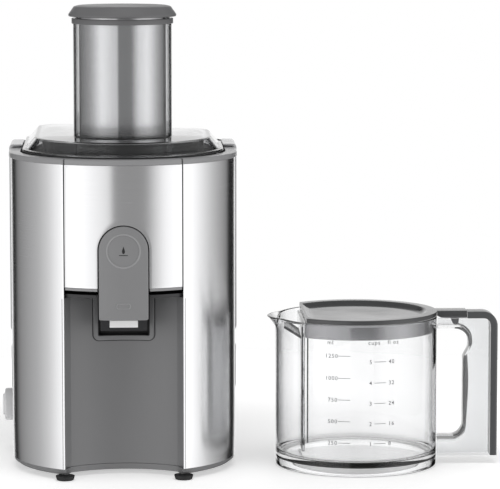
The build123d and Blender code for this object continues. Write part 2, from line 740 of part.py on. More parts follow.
def jug_lid():
    """Jug lid: flange ring, skirt, sunk top, tail over the handle, hook."""
    jx, jy = JUG
    flange = ring(JUG_R + 0.3, 60, JUG_H + 0.3, 134, jx, jy)
    skirt = ring(JUG_R - JUG_WALL - 0.5, 64, 117, JUG_H + 1, jx, jy)
    plate = rod(65, 127, 129.4, jx, jy)
    lid = flange + skirt + plate
    lid -= block(jx - 90, jx + LID_CHORD, jy - 90, jy + 90, 100, 150)
    edge = block(jx + LID_CHORD, jx + LID_CHORD + 2, jy - 52, jy + 52, 117, 134) & rod(66, 110, 140, jx, jy)
    tail = block(jx + 68, jx + TAIL_END, jy - HANDLE_HALF - 1, jy + HANDLE_HALF + 1, 130.3, 133.8)
    tail += block(jx + 71, jx + TAIL_END, jy - HANDLE_HALF - 1, jy + HANDLE_HALF + 1, 127.7, 131)
    hook = handle_profile([(82, 128), (89, 128), (87.7, 121.5), (84.5, 121.5)], 3.5)
    return lid + edge + tail + hook


def foam_separator():
    """Hanging plate that holds back the foam, with its sloping guard."""
    jx, jy = JUG
    x0 = jx + LID_CHORD - 2.6
    plate = block(x0, x0 + 2.6, jy - 45, jy + 45, 17, 128)
    guard = prism_y([(x0 + 0.5, 112.6), (x0 + 0.5, 114.2), (x0 - 13.5, 123.4), (x0 - 13.5, 121.8)], jy - 23, jy + 23)
    clip = block(x0 + 2, x0 + 22, jy - 12, jy + 12, 112.5, 116.4)
    return plate + guard + clip


# ---- build and write ----------------------------------------------------
PARTS = {
    "base_plate": base_plate,
    "foot_pads": foot_pads,
    "base_screws": base_screws,
    "recess_wall": recess_wall,
    "recess_frame": recess_frame,
    "pocket_liner": pocket_liner,
    "main_housing": main_housing,
    "steel_wrap_left": lambda: steel_wrap(-1),
    "steel_wrap_right": lambda: steel_wrap(1),
    "side_panel_left": side_panel_left,
    "side_panel_right": side_panel_right,
    "cord_gland": cord_gland,
    "clamp_pins": clamp_pins,
    "rim_deck": rim_deck,
    "motor_bracket_low": lambda: bracket(67, 73),
    "motor_bracket_high": lambda: bracket(150, 156),
    "motor_bolts": motor_bolts,
    "motor_dampers": motor_dampers,
    "motor_stator": motor_stator,
    "stator_coils": stator_coils,
    "brush_holders": brush_holders,
    "shaft_bearings": shaft_bearings,
    "shaft_seal": shaft_seal,
    "motor_rotor": motor_rotor,
    "commutator": commutator,
    "motor_shaft": motor_shaft,
    "cooling_fan": cooling_fan,
    "drive_coupling": drive_coupling,
    "speed_switch": speed_switch,
    "control_board": control_board,
    "board_parts": board_parts,
    "interlock_switch": interlock_switch,
    "speed_knob": speed_knob,
    "knob_shaft": knob_shaft,
    "clamp_right": clamp,
    "clamp_left": lambda: mirrored(clamp()),
    "collector_bowl": collector_bowl,
    "spout_duct": spout_duct,
    "collector_rim": collector_rim,
    "front_backing": front_backing,
    "front_panel": front_panel,
    "rocker_pin": rocker_pin,
    "spout_rocker": spout_rocker,
    "rocker_arm": rocker_arm,
    "valve_pad": valve_pad,
    "basket_hub": basket_hub,
    "grater_disc": grater_disc,
    "filter_basket": filter_basket,
    "basket_ring": basket_ring,
    "lid_cover": lid_cover,
    "chute_ring": chute_ring,
    "pusher_cap": pusher_cap,
    "pusher_sleeve": pusher_sleeve,
    "pusher_core": pusher_core,
    "pulp_container": pulp_container,
    "jug_body": jug_body,
    "handle_trim": handle_trim,
    "jug_lid": jug_lid,
    "foam_separator": foam_separator,
}

os.makedirs("parts", exist_ok=True)
for name, make in PARTS.items():
    export_step(make(), f"parts/{name}.step")
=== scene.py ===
import json
from math import asin, atan2, cos, hypot, pi, radians, sin, sqrt

import bmesh
import bpy
import numpy as np
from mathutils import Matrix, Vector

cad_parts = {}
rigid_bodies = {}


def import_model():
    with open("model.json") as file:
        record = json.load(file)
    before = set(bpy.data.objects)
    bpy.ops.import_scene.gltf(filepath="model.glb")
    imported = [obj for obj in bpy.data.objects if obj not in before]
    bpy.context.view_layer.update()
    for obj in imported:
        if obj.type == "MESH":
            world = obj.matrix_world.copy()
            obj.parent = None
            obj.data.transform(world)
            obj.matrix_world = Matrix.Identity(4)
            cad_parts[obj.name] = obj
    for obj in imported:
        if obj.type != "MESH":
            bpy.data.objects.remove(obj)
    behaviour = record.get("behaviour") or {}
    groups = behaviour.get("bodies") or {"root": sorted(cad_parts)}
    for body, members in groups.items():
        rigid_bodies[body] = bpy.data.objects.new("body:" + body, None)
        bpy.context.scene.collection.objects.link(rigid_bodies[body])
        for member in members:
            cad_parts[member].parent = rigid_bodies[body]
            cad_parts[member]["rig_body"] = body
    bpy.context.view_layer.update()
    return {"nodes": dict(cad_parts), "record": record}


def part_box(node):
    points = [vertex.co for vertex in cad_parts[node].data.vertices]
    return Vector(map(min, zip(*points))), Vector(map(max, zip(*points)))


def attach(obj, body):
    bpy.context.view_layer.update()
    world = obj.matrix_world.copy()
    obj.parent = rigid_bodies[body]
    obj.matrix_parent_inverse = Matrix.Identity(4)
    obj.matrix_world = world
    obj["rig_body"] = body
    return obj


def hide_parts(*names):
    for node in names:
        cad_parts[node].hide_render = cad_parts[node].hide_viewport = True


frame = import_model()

# Centrifugal juicer and its clear jug. Shapes are worked out in millimetres
# and put into meshes in metres. +Z is up, the front looks along -Y.
MM = 0.001
nodes = frame["nodes"]


# ---- camera ----
def make_camera():
    """Long lens in front of the juicer, a little above it, turned to the jug."""
    lens = bpy.data.cameras.new("camera")
    lens.sensor_width = 36.0
    lens.lens = 218.0
    lens.clip_end = 50.0
    camera = bpy.data.objects.new("camera", lens)
    camera.location = (0.0, -2.6, 0.493)
    camera.rotation_euler = (radians(90 - 6.64), 0.0, radians(-2.41))
    bpy.context.scene.collection.objects.link(camera)
    bpy.context.scene.camera = camera


make_camera()


# ---- reading the frame ----
def span(node):
    """Lowest and highest corner of a CAD node in millimetres, as arrays."""
    low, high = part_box(node)
    return np.array(low) / MM, np.array(high) / MM


# ---- shaders: groups used by several finishes ----
def group_of(name, inputs, outputs):
    """Empty shader group with float sockets; returns it and its two ends."""
    tree = bpy.data.node_groups.new(name, "ShaderNodeTree")
    tree.interface.new_socket("Vector", in_out="INPUT", socket_type="NodeSocketVector")
    for label, value in inputs.items():
        socket = tree.interface.new_socket(label, in_out="INPUT", socket_type="NodeSocketFloat")
        socket.default_value = value
    for label in outputs:
        tree.interface.new_socket(label, in_out="OUTPUT", socket_type="NodeSocketFloat")
    return tree, tree.nodes.new("NodeGroupInput"), tree.nodes.new("NodeGroupOutput")


def add(tree, kind, inputs, **settings):
    """New node of a kind with its settings; each input, by name or by place, is
    linked if it is a socket and set if it is a value."""
    node = tree.nodes.new("ShaderNode" + kind)
    for label, value in settings.items():
        setattr(node, label, value)
    for label, value in inputs.items():
        if isinstance(value, bpy.types.NodeSocket):
            tree.links.new(value, node.inputs[label])
        else:
            node.inputs[label].default_value = value
    return node


def math_node(tree, operation, first, second):
    """Math node on two sockets or numbers; returns its output."""
    return add(tree, "Math", {0: first, 1: second}, operation=operation).outputs[0]


def noise(tree, vector, scale, detail, rough=0.5):
    """Noise texture; scale may be a number or a socket."""
    inputs = {"Vector": vector, "Scale": scale, "Detail": detail, "Roughness": rough}
    return add(tree, "TexNoise", inputs).outputs["Fac"]


def blend(tree, first, first_share, second, second_share):
    """Sum of two masks by their shares."""
    return math_node(tree, "ADD", math_node(tree, "MULTIPLY", first, first_share),
                     math_node(tree, "MULTIPLY", second, second_share))


def put_out(tree, outs, **masks):
    """Links masks to a group's outputs; returns the group."""
    for label, mask in masks.items():
        tree.links.new(mask, outs.inputs[label])
    return tree


def make_grain_group():
    """Moulded surface: fine spark-eroded grain over slow handling smudges."""
    tree, ins, outs = group_of("moulded_grain", {"Grain": 3000.0}, ["Tone", "Rough", "Height"])
    fine = noise(tree, ins.outputs["Vector"], ins.outputs["Grain"], 2.0)
    slow = noise(tree, ins.outputs["Vector"], 22.0, 3.0)
    return put_out(tree, outs, Tone=blend(tree, fine, 0.35, slow, 0.65), Rough=slow, Height=fine)


def make_brush_group():
    """Brushed metal: hairlines that run level round the part, varied slowly."""
    tree, ins, outs = group_of("brushed_lines", {"Lines": 1.0}, ["Tone", "Rough", "Height"])
    level_lines = (14.0, 14.0, 3600.0)   # fine up the part, drawn out round it
    stretch = add(tree, "VectorMath", {0: ins.outputs["Vector"], 1: level_lines}, operation="MULTIPLY")
    lines = noise(tree, stretch.outputs[0], ins.outputs["Lines"], 3.0, 0.65)
    both = blend(tree, lines, 0.7, noise(tree, ins.outputs["Vector"], 9.0, 2.0), 0.3)
    return put_out(tree, outs, Tone=both, Rough=both, Height=lines)


def make_ripple_group():
    """Clear moulding: faint flow waves, and fine wipe marks in the gloss."""
    tree, ins, outs = group_of("flow_ripples", {"Waves": 18.0}, ["Rough", "Height"])
    waves = noise(tree, ins.outputs["Vector"], ins.outputs["Waves"], 1.0)
    return put_out(tree, outs, Rough=noise(tree, ins.outputs["Vector"], 160.0, 4.0), Height=waves)


GRAIN = make_grain_group()
BRUSH = make_brush_group()
RIPPLE = make_ripple_group()


def shader_of(name):
    """New node material; returns it, its tree, its shader and a coordinate socket."""
    material = bpy.data.materials.new(name)
    material.use_nodes = True
    tree = material.node_tree
    return material, tree, tree.nodes["Principled BSDF"], add(tree, "TexCoord", {}).outputs["Object"]


def plain(shader, **values):
    """Sets a shader's own sockets; an underscore in a name stands for a space."""
    for label, value in values.items():
        shader.inputs[label.replace("_", " ")].default_value = value


def placed_group(tree, group, vector, **values):
    """A group in a material's tree, fed with the vector and its own values."""
    node = tree.nodes.new("ShaderNodeGroup")
    node.node_tree = group
    tree.links.new(vector, node.inputs["Vector"])
    plain(node, **values)
    return node


def vary(tree, mask, socket, low, high):
    """Maps a mask from its usual 0.3 to 0.7 to low..high on a shader socket."""
    node = add(tree, "MapRange", {"Value": mask, "From Min": 0.3, "From Max": 0.7,
                                  "To Min": low, "To Max": high})
    tree.links.new(node.outputs["Result"], socket)


def colour_mix(tree, factor, first, second):
    """Mix of two colours, each a value or a socket; returns the result socket."""
    node = add(tree, "Mix", {"Factor": factor}, data_type="RGBA")
    ends = [socket for socket in node.inputs if socket.type == "RGBA"]
    for socket, colour in zip(ends, (first, second)):
        if isinstance(colour, tuple):
            socket.default_value = (*colour, 1.0)
        else:
            tree.links.new(colour, socket)
    return next(socket for socket in node.outputs if socket.type == "RGBA")


def tint(tree, mask, socket, colour, spread):
    """Colour that swings by spread, darker and lighter, with the mask."""
    dark, light = (tuple(min(c * (1 + s), 1.0) for c in colour) for s in (-spread, spread))
    tree.links.new(colour_mix(tree, mask, dark, light), socket)


def bump(tree, height, shader, strength, distance):
    """Small relief from a height mask."""
    node = add(tree, "Bump", {"Strength": strength, "Distance": distance, "Height": height})
    tree.links.new(node.outputs["Normal"], shader.inputs["Normal"])


def step_of(tree, value, start, stop):
    """Smooth step from 0 at start to 1 at stop."""
    return add(tree, "MapRange", {"Value": value, "From Min": start, "From Max": stop},
               interpolation_type="SMOOTHSTEP").outputs["Result"]


def height_step(tree, vector, low, high):
    """Smooth step over the height of the object, from low to high in metres."""
    return step_of(tree, add(tree, "SeparateXYZ", {0: vector}).outputs["Z"], low, high)


def moulded(name, colour, rough, grain=3000.0, relief=0.25, spread=0.05, coat=0.0, metallic=0.0):
    """Moulded plastic or rubber: even colour with grain, smudged gloss."""
    material, tree, shader, vector = shader_of(name)
    group = placed_group(tree, GRAIN, vector, Grain=grain)
    tint(tree, group.outputs["Tone"], shader.inputs["Base Color"], colour, spread)
    vary(tree, group.outputs["Rough"], shader.inputs["Roughness"], rough - 0.05, rough + 0.05)
    bump(tree, group.outputs["Height"], shader, relief, 0.00004)
    plain(shader, Metallic=metallic, Coat_Weight=coat, Coat_Roughness=0.08)
    return material


def brushed(name, colour, rough):
    """Steel brushed in level lines: reflections are drawn out up and down."""
    material, tree, shader, vector = shader_of(name)
    group = placed_group(tree, BRUSH, vector)
    tint(tree, group.outputs["Tone"], shader.inputs["Base Color"], colour, 0.08)
    vary(tree, group.outputs["Rough"], shader.inputs["Roughness"], rough - 0.04, rough + 0.04)
    bump(tree, group.outputs["Height"], shader, 0.3, 0.00002)
    plain(shader, Metallic=1.0, Anisotropic=0.75, Anisotropic_Rotation=0.25)
    tangent = add(tree, "Tangent", {}, direction_type="RADIAL", axis="Z")
    tree.links.new(tangent.outputs["Tangent"], shader.inputs["Tangent"])
    return material


EDGE_DEPTH_AND_SHADE = (0.45, 0.45, 0.46)           # clear plastic seen along its wall: its depth, and painted shade for dark reflections
ACRYLIC = 1.49                           # index of refraction


def clear(name, colour, gloss=(0.0, 0.03), upper=None, walls=None):
    """Clear moulded plastic with faint flow waves. Seen along the wall its colour
    darkens, partly for the plastic's depth and partly as painted shade for dark
    reflections, with walls=(z0, z1) only above that height; upper gives a lighter
    colour above a height, (colour, z0, z1): painted light on the top, painted shade below."""
    material, tree, shader, vector = shader_of(name)
    group = placed_group(tree, RIPPLE, vector)
    weight = add(tree, "LayerWeight", {"Blend": 0.5})
    base = colour
    if upper:
        # Painted light and shade: a lighter colour above the height, darker below it.
        base = colour_mix(tree, height_step(tree, vector, *upper[1:]), colour, upper[0])
    # Painted shade: the colour darkens where the wall is seen edge-on, partly for the plastic's depth.
    along = step_of(tree, weight.outputs["Facing"], 0.50, 0.84)
    if walls:
        along = math_node(tree, "MULTIPLY", along, height_step(tree, vector, *walls))
    tree.links.new(colour_mix(tree, along, base, EDGE_DEPTH_AND_SHADE), shader.inputs["Base Color"])
    plain(shader, Transmission_Weight=1.0, IOR=ACRYLIC)
    vary(tree, group.outputs["Rough"], shader.inputs["Roughness"], *gloss)
    bump(tree, group.outputs["Height"], shader, 0.12, 0.0002)
    return material


def lid_finish(name):
    """Jug lid: glossy skirt with a satin metal look under a dark flat top."""
    material = moulded(name, (0.30, 0.30, 0.31), 0.20, relief=0.1, metallic=1.0)
    tree = material.node_tree
    shader = tree.nodes["Principled BSDF"]
    vector = next(n for n in tree.nodes if n.type == "TEX_COORD").outputs["Object"]
    upper = height_step(tree, vector, 0.1286, 0.1291)
    satin = shader.inputs["Base Color"].links[0].from_socket
    tree.links.new(colour_mix(tree, upper, satin, (0.062, 0.063, 0.065)), shader.inputs["Base Color"])
    tree.links.new(math_node(tree, "SUBTRACT", 1.0, upper), shader.inputs["Metallic"])
    return material


def striped(name, dark, light, scale, axis):
    """Fine level bands, as in stacked sheets or wound wire, in bright metal."""
    material, tree, shader, vector = shader_of(name)
    wave = add(tree, "TexWave", {"Vector": vector, "Scale": scale, "Distortion": 0.4}, bands_direction=axis)
    tree.links.new(colour_mix(tree, wave.outputs["Fac"], dark, light), shader.inputs["Base Color"])
    plain(shader, Roughness=0.45 if axis == "Z" else 0.32, Metallic=1.0)
    bump(tree, wave.outputs["Fac"], shader, 0.4, 0.0001)
    return material


def grey(value, blue=None):
    """Grey with a slightly higher blue."""
    return value, value, value if blue is None else blue


MOULDED = {                              # name: colour, roughness, other values
    "mid_grey_plastic": (grey(0.200, 0.204), 0.42, {}),
    "rocker_plastic": (grey(0.228, 0.232), 0.40, {}),
    "cap_plastic": (grey(0.14, 0.143), 0.40, {}),
    "rim_grey_plastic": (grey(0.27, 0.275), 0.32, {"coat": 0.2}),
    "silver_plastic": (grey(0.50, 0.51), 0.30, {"coat": 0.4}),
    "knob_plastic": (grey(0.76, 0.77), 0.30, {"coat": 0.4}),
    "dark_plastic": (grey(0.022, 0.024), 0.40, {}),
    "smoke_plastic": (grey(0.055, 0.058), 0.22, {"relief": 0.08}),
    "container_plastic": (grey(0.06, 0.064), 0.30, {"relief": 0.15}),
    "pusher_plastic": (grey(0.10, 0.105), 0.25, {"relief": 0.08}),
    "jug_trim_plastic": ((0.075, 0.077, 0.08), 0.30, {"coat": 0.2}),
    # The ring and frame plastic is lighter than the rocker it is moulded with: painted highlight on raised
    # edges.
    "ring_highlight_plastic": (grey(0.30, 0.304), 0.35, {"coat": 0.3}),
    "black_rubber": (grey(0.012, 0.013), 0.62, {"grain": 1800.0, "relief": 0.4}),
    "white_silicone": (grey(0.93), 0.35, {"relief": 0.08}),
    "spring_steel": (grey(0.62, 0.63), 0.28, {"metallic": 1.0}),
    "steel_hardware": (grey(0.60), 0.30, {"metallic": 1.0, "relief": 0.15}),
    "cast_metal": (grey(0.42, 0.43), 0.48, {"grain": 900.0, "relief": 0.6, "metallic": 1.0}),
    "fan_plastic": ((0.018, 0.03, 0.05), 0.45, {}),
    "circuit_board": ((0.02, 0.10, 0.045), 0.40, {"grain": 420.0, "spread": 0.3}),
    "electronics": ((0.09, 0.08, 0.10), 0.38, {"grain": 300.0, "spread": 0.35}),
    "print_grey": (grey(0.16, 0.165), 0.5, {"relief": 0.05}),
    "icon_black": (grey(0.015, 0.016), 0.5, {"relief": 0.05}),
}
FINISH = {name: moulded(name, colour, rough, **rest) for name, (colour, rough, rest) in MOULDED.items()}
FINISH |= {
    "brushed_steel": brushed("brushed_steel", grey(0.80, 0.81), 0.24),
    "pusher_steel": brushed("pusher_steel", grey(0.66, 0.67), 0.17),
    "clear_plastic": clear("clear_plastic", (0.965, 0.967, 0.97), walls=(0.015, 0.021)),
    "handle_clear": clear("handle_clear", (0.90, 0.905, 0.91), gloss=(0.05, 0.14)),
    "separator_clear": clear("separator_clear", (0.66, 0.665, 0.67)),
    # Painted light and shade on the lid: darker skirt and flange, lighter dome top and chute.
    "lid_clear": clear("lid_clear", (0.74, 0.745, 0.75), upper=((0.88, 0.883, 0.886), 0.2865, 0.2885)),
    "jug_lid_plastic": lid_finish("jug_lid_plastic"),
    "lamination": striped("lamination", (0.10, 0.10, 0.11), (0.28, 0.28, 0.30), 350.0, "Z"),
    "copper": striped("copper_windings", (0.50, 0.19, 0.09), (0.78, 0.36, 0.18), 260.0, "X"),
}


# ---- shapes: outlines and meshes ----
def rounded(points, radii, steps=8):
    """Closed outline with round corners. At each corner the circle of its radius
    touches both edges, at radius * tan(half the turn) from the corner; the arc is
    sampled by turning the radius evenly from the first edge's normal to the next."""
    p = np.asarray(points, float)
    r = np.broadcast_to(np.asarray(radii, float), (len(p),))[:, None]
    to_prev = np.roll(p, 1, 0) - p
    to_next = np.roll(p, -1, 0) - p
    a = to_prev / np.linalg.norm(to_prev, axis=1, keepdims=True)
    b = to_next / np.linalg.norm(to_next, axis=1, keepdims=True)
    inner = np.arccos(np.clip((a * b).sum(1, keepdims=True), -1, 1))
    reach = r / np.tan(inner / 2)
    bisector = a + b
    bisector /= np.maximum(np.linalg.norm(bisector, axis=1, keepdims=True), 1e-9)
    centre = p + bisector * (r / np.sin(inner / 2))
    u = p + a * reach - centre
    v = p + b * reach - centre
    sweep = pi - inner
    t = np.linspace(0, 1, steps + 1)[None, :, None]
    s = np.maximum(np.sin(sweep), 1e-9)[:, None, :]
    angle = sweep[:, None, :]
    arc = (np.sin((1 - t) * angle) * u[:, None, :] + np.sin(t * angle) * v[:, None, :]) / s
    loop = (centre[:, None, :] + arc).reshape(-1, 2)
    sharp = np.repeat(r[:, 0] < 1e-6, steps + 1)
    loop[sharp] = np.repeat(p, steps + 1, 0)[sharp]
    keep = np.linalg.norm(loop - np.roll(loop, 1, 0), axis=1) > 1e-6
    return loop[keep]


def finer(loop, step, closed=True):
    """Adds even points along an outline, keeping the ones it has."""
    p = np.vstack([loop, loop[:1]]) if closed else np.asarray(loop, float)
    s = np.r_[0, np.cumsum(np.linalg.norm(np.diff(p, axis=0), axis=1))]
    even = np.linspace(0, s[-1], int(s[-1] / step) + 2)
    where = np.unique(np.r_[s, even[np.abs(even[:, None] - s[None]).min(1) > step * 0.35]])
    out = np.stack([np.interp(where, s, p[:, k]) for k in range(p.shape[1])], 1)
    return out[:-1] if closed else out


def inward(loop):
    """Unit normals into a closed outline that runs anticlockwise."""
    edge = np.roll(loop, -1, 0) - np.roll(loop, 1, 0)
    edge /= np.maximum(np.linalg.norm(edge, axis=1, keepdims=True), 1e-9)
    return np.stack([-edge[:, 1], edge[:, 0]], 1)


def grid_faces(rows, cols, wrap_rows, wrap_cols):
    """Quads of a grid of rows by cols, which may close on itself either way."""
    i = np.arange(rows if wrap_rows else rows - 1)[:, None]
    j = np.arange(cols if wrap_cols else cols - 1)[None, :]
    i2, j2 = (i + 1) % rows, (j + 1) % cols
    quad = np.stack([i * cols + j, i * cols + j2, i2 * cols + j2, i2 * cols + j], -1)
    return quad.reshape(-1, 4)


BOTH = (True, True)                      # an end cap at either end of a shell


def shell(points, wrap_rows=False, wrap_cols=True, caps=(False, False)):
    """A grid of points (rows, cols, 3) as vertices and faces, with flat end caps."""
    rows, cols = points.shape[:2]
    faces = [list(f) for f in grid_faces(rows, cols, wrap_rows, wrap_cols)]
    if caps[0]:
        faces.append(list(range(cols))[::-1])
    if caps[1]:
        faces.append([(rows - 1) * cols + k for k in range(cols)])
    return points.reshape(-1, 3), faces


def level(loop, z):
    """Flat outline as a ring at height z."""
    return np.c_[loop, np.full(len(loop), float(z))]


def volume_of(mesh):
    """Signed volume of a closed mesh, by its triangles' tetrahedra."""
    mesh.calc_loop_triangles()
    corner = np.zeros(len(mesh.vertices) * 3)
    mesh.vertices.foreach_get("co", corner)
    index = np.zeros(len(mesh.loop_triangles) * 3, int)
    mesh.loop_triangles.foreach_get("vertices", index)
    tri = corner.reshape(-1, 3)[index.reshape(-1, 3)]
    return (tri[:, 0] * np.cross(tri[:, 1], tri[:, 2])).sum() / 6


def soften_edges(made, width, angle):
    """Rounds every edge sharper than an angle in degrees, width in millimetres."""
    edge = made.modifiers.new("edges", "BEVEL")
    edge.width = width * MM
    edge.segments = 3
    edge.limit_method = "ANGLE"
    edge.angle_limit = radians(angle)


def smooth(mesh, crease):
    """Smooth shading, with edges sharper than crease degrees left sharp."""
    mesh.polygons.foreach_set("use_smooth", np.ones(len(mesh.polygons), bool))
    mesh.set_sharp_from_angle(angle=radians(crease))


def placed(name, content):
    """New object with a mesh or other content, in the scene."""
    made = bpy.data.objects.new(name, content)
    bpy.context.scene.collection.objects.link(made)
    return made


def piece(name, shells, body, finish, replaces=(), crease=35.0, bevel=0.0, thick=0.0, closed=True):
    """Makes one piece of the object: joins the shells, closes poles and seams,
    turns faces outward, and gives it its finish, its body and its CAD nodes."""
    whole = bpy.data.meshes.new(name)
    build = bmesh.new()
    for points, faces in shells:
        part = bpy.data.meshes.new(name + "_part")
        part.from_pydata((np.asarray(points) * MM).tolist(), [], [[int(k) for k in f] for f in faces])
        one = bmesh.new()
        one.from_mesh(part)
        bmesh.ops.remove_doubles(one, verts=one.verts, dist=1e-6)
        bmesh.ops.dissolve_degenerate(one, edges=one.edges, dist=1e-7)
        one.to_mesh(part)
        if closed and volume_of(part) < 0:
            part.flip_normals()
        one.free()
        build.from_mesh(part)
        bpy.data.meshes.remove(part)
    build.to_mesh(whole)
    build.free()
    smooth(whole, crease)
    made = placed(name, whole)
    whole.materials.append(FINISH[finish])
    if thick:
        solid = made.modifiers.new("wall", "SOLIDIFY")
        solid.thickness = thick * MM
        solid.offset = -1.0
    if bevel:
        soften_edges(made, bevel, 40)
    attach(made, body)
    if replaces:
        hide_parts(*replaces)
    return made


def turned(profile, centre=(0.0, 0.0), count=160, start=0.0, stop=2 * pi):
    """Closed or pole-ended (radius, height) profile turned about an upright axis:
    x = cx + r cos a, y = cy + r sin a, z = h."""
    p = np.asarray(profile, float)
    a = np.linspace(start, stop, count, endpoint=abs(stop - start - 2 * pi) > 1e-6)[None, :]
    r, h = p[:, :1], p[:, 1:]
    return np.stack([centre[0] + r * np.cos(a), centre[1] + r * np.sin(a), h + 0 * a], -1)


def turned_ring(section, centre=(0.0, 0.0), count=160):
    """Closed section away from the axis, turned full circle into a ring."""
    return shell(turned(section, centre, count), wrap_rows=True, wrap_cols=True)


def turned_solid(profile, centre=(0.0, 0.0), count=160):
    """Profile from axis to axis, turned full circle; its poles are welded."""
    return shell(turned(profile, centre, count), wrap_rows=False, wrap_cols=True)


def body_round(x, radius, depth=0.0):
    """Y of the front half circle of the housing at x, pushed in by depth."""
    return -np.sqrt(np.maximum((radius - depth) ** 2 - x**2, 0.0))


def swept_arc(section, angles):
    """(radius, height) section swept round the front: x = r sin a, y = -r cos a."""
    a = np.asarray(angles)[:, None]
    r, h = section[None, :, 0], section[None, :, 1]
    return np.stack([r * np.sin(a), -r * np.cos(a), h + 0 * a], -1)


def front_arc(r, a):
    """Plan line on the front half circle: x = r sin a, y = -r cos a."""
    return np.c_[r * np.sin(a), -r * np.cos(a)]


def anticlockwise(loop):
    """The outline, turned round if its area comes out negative."""
    area = (loop[:, 0] * np.roll(loop[:, 1], -1) - np.roll(loop[:, 0], -1) * loop[:, 1]).sum()
    return loop if area > 0 else loop[::-1]


def box_outline(x0, x1, z0, z1, radii, steps=8):
    """Rounded rectangle, from its lower left corner round to its upper left."""
    return rounded([(x0, z0), (x1, z0), (x1, z1), (x0, z1)], radii, steps)


def across(loop, y, inset):
    """(x, z) outline carried along Y: at each y it is moved in by its inset."""
    flat = loop[None] + inward(loop)[None] * np.asarray(inset)[:, None, None]
    return np.stack([flat[..., 0], np.broadcast_to(np.asarray(y)[:, None], flat.shape[:2]), flat[..., 1]], -1)


def between(first, second, share):
    """Points that lie at a share of the way from one line's points to another's."""
    return first[:, None] + (second - first)[:, None] * share[..., None]


def axis_to_axis(points, radii, steps):
    """Rounded (radius, height) profile whose two ends stay on the axis."""
    loop = rounded(points, radii, steps)
    return np.r_[[points[0]], loop[loop[:, 0] > 0.01], [points[-1]]]


def round_edge(radius, low, high, steps=5):
    """(inset, height) rows of a side wall from low to high with a round top edge."""
    t = np.linspace(0, pi / 2, steps + 1)
    return [(0.0, low)] + [(radius * (1 - cos(a)), high - radius * (1 - sin(a))) for a in t]


def soft_box_levels(radius, low, high, steps=4):
    """(inset, height) rows with both the lower and the upper edge rounded."""
    t = np.linspace(0, pi / 2, steps + 1)
    lower = [(radius * (1 - sin(a)), low + radius * (1 - cos(a))) for a in t]
    upper = [(radius * (1 - cos(a)), high - radius * (1 - sin(a))) for a in t]
    return lower + upper


# ---- places read from the frame ----
wrap_low, wrap_high = span("steel_wrap_right")
BODY_R = wrap_high[0]                    # outside of the steel skin
SKIN_LOW, SKIN_TOP = wrap_low[2], wrap_high[2]
WRAP_BACK = wrap_high[1]
SHEET = 0.8                              # thickness of the steel
panel_low, panel_high = span("front_panel")
rim_low, rim_high = span("rim_deck")
RIM_R, RIM_BACK = rim_high[0], rim_high[1]
SEAM = span("collector_rim")[1][0]       # the front pieces end at this x
RIM_WALL = 10.0                          # rim width, outside to lid opening
clamp_low, clamp_high = span("clamp_right")
rocker_low, rocker_high = span("spout_rocker")
ROCKER_W = rocker_high[0]
EYE_Z = rocker_high[2] - ROCKER_W        # centre of the rocker's round top
ROCKER_R = 98.4                          # the rocker's face follows this radius
DISH_R = 14.2                            # ring round the finger dish
BEAD_Z = 150.0                           # middle of the raised frame
frame_low, frame_high = span("recess_frame")
lid_low, lid_high = span("lid_cover")
cap_low, cap_high = span("pusher_cap")
sleeve_low, sleeve_high = span("pusher_sleeve")
ring_low, ring_high = span("chute_ring")
knob_low, knob_high = span("speed_knob")
jug_low, jug_high = span("jug_body")
trim_low, trim_high = span("handle_trim")
jug_lid_low, jug_lid_high = span("jug_lid")
plate_low, plate_high = span("foam_separator")
JUG_R = (jug_high[1] - jug_low[1]) / 2
JUG = np.array([plate_high[0] + 26.6, (jug_low[1] + jug_high[1]) / 2])    # the jug's axis
JUG_H = jug_high[2]
JUG_WALL = 2.6


# ---- steel skins ----
def steel_wraps():
    """Side skins: arc from the seam to the side, then straight back. A level grid
    over that path, given its thickness inwards, with softened edges."""
    first = asin((SEAM + 1.2) / BODY_R)
    a = np.linspace(first, pi / 2, 70)
    path = np.r_[front_arc(BODY_R, a), np.c_[np.full(6, BODY_R), np.linspace(4, WRAP_BACK, 6)]]
    height = np.linspace(SKIN_LOW, SKIN_TOP, 9)
    for side, name in ((1, "steel_wrap_right"), (-1, "steel_wrap_left")):
        grid = np.stack([level(path * [side, 1], z) for z in height])[:, ::side]
        piece(name + "_skin", [shell(grid, wrap_cols=False)], "motor_block", "brushed_steel", [name],
              thick=SHEET, bevel=0.22, closed=False)


def keyhole_path(half, eye, bottom, count=64):
    """Open outline of the rocker's opening: up one side, over the round top, down."""
    a = np.linspace(pi, 0, count)
    side = np.linspace(bottom, eye, 9)[:-1]
    left = np.c_[np.full(8, -half), side]
    top = np.c_[half * np.cos(a), eye + half * np.sin(a)]
    right = np.c_[np.full(8, half), side[::-1]]
    return np.r_[left, top, right]


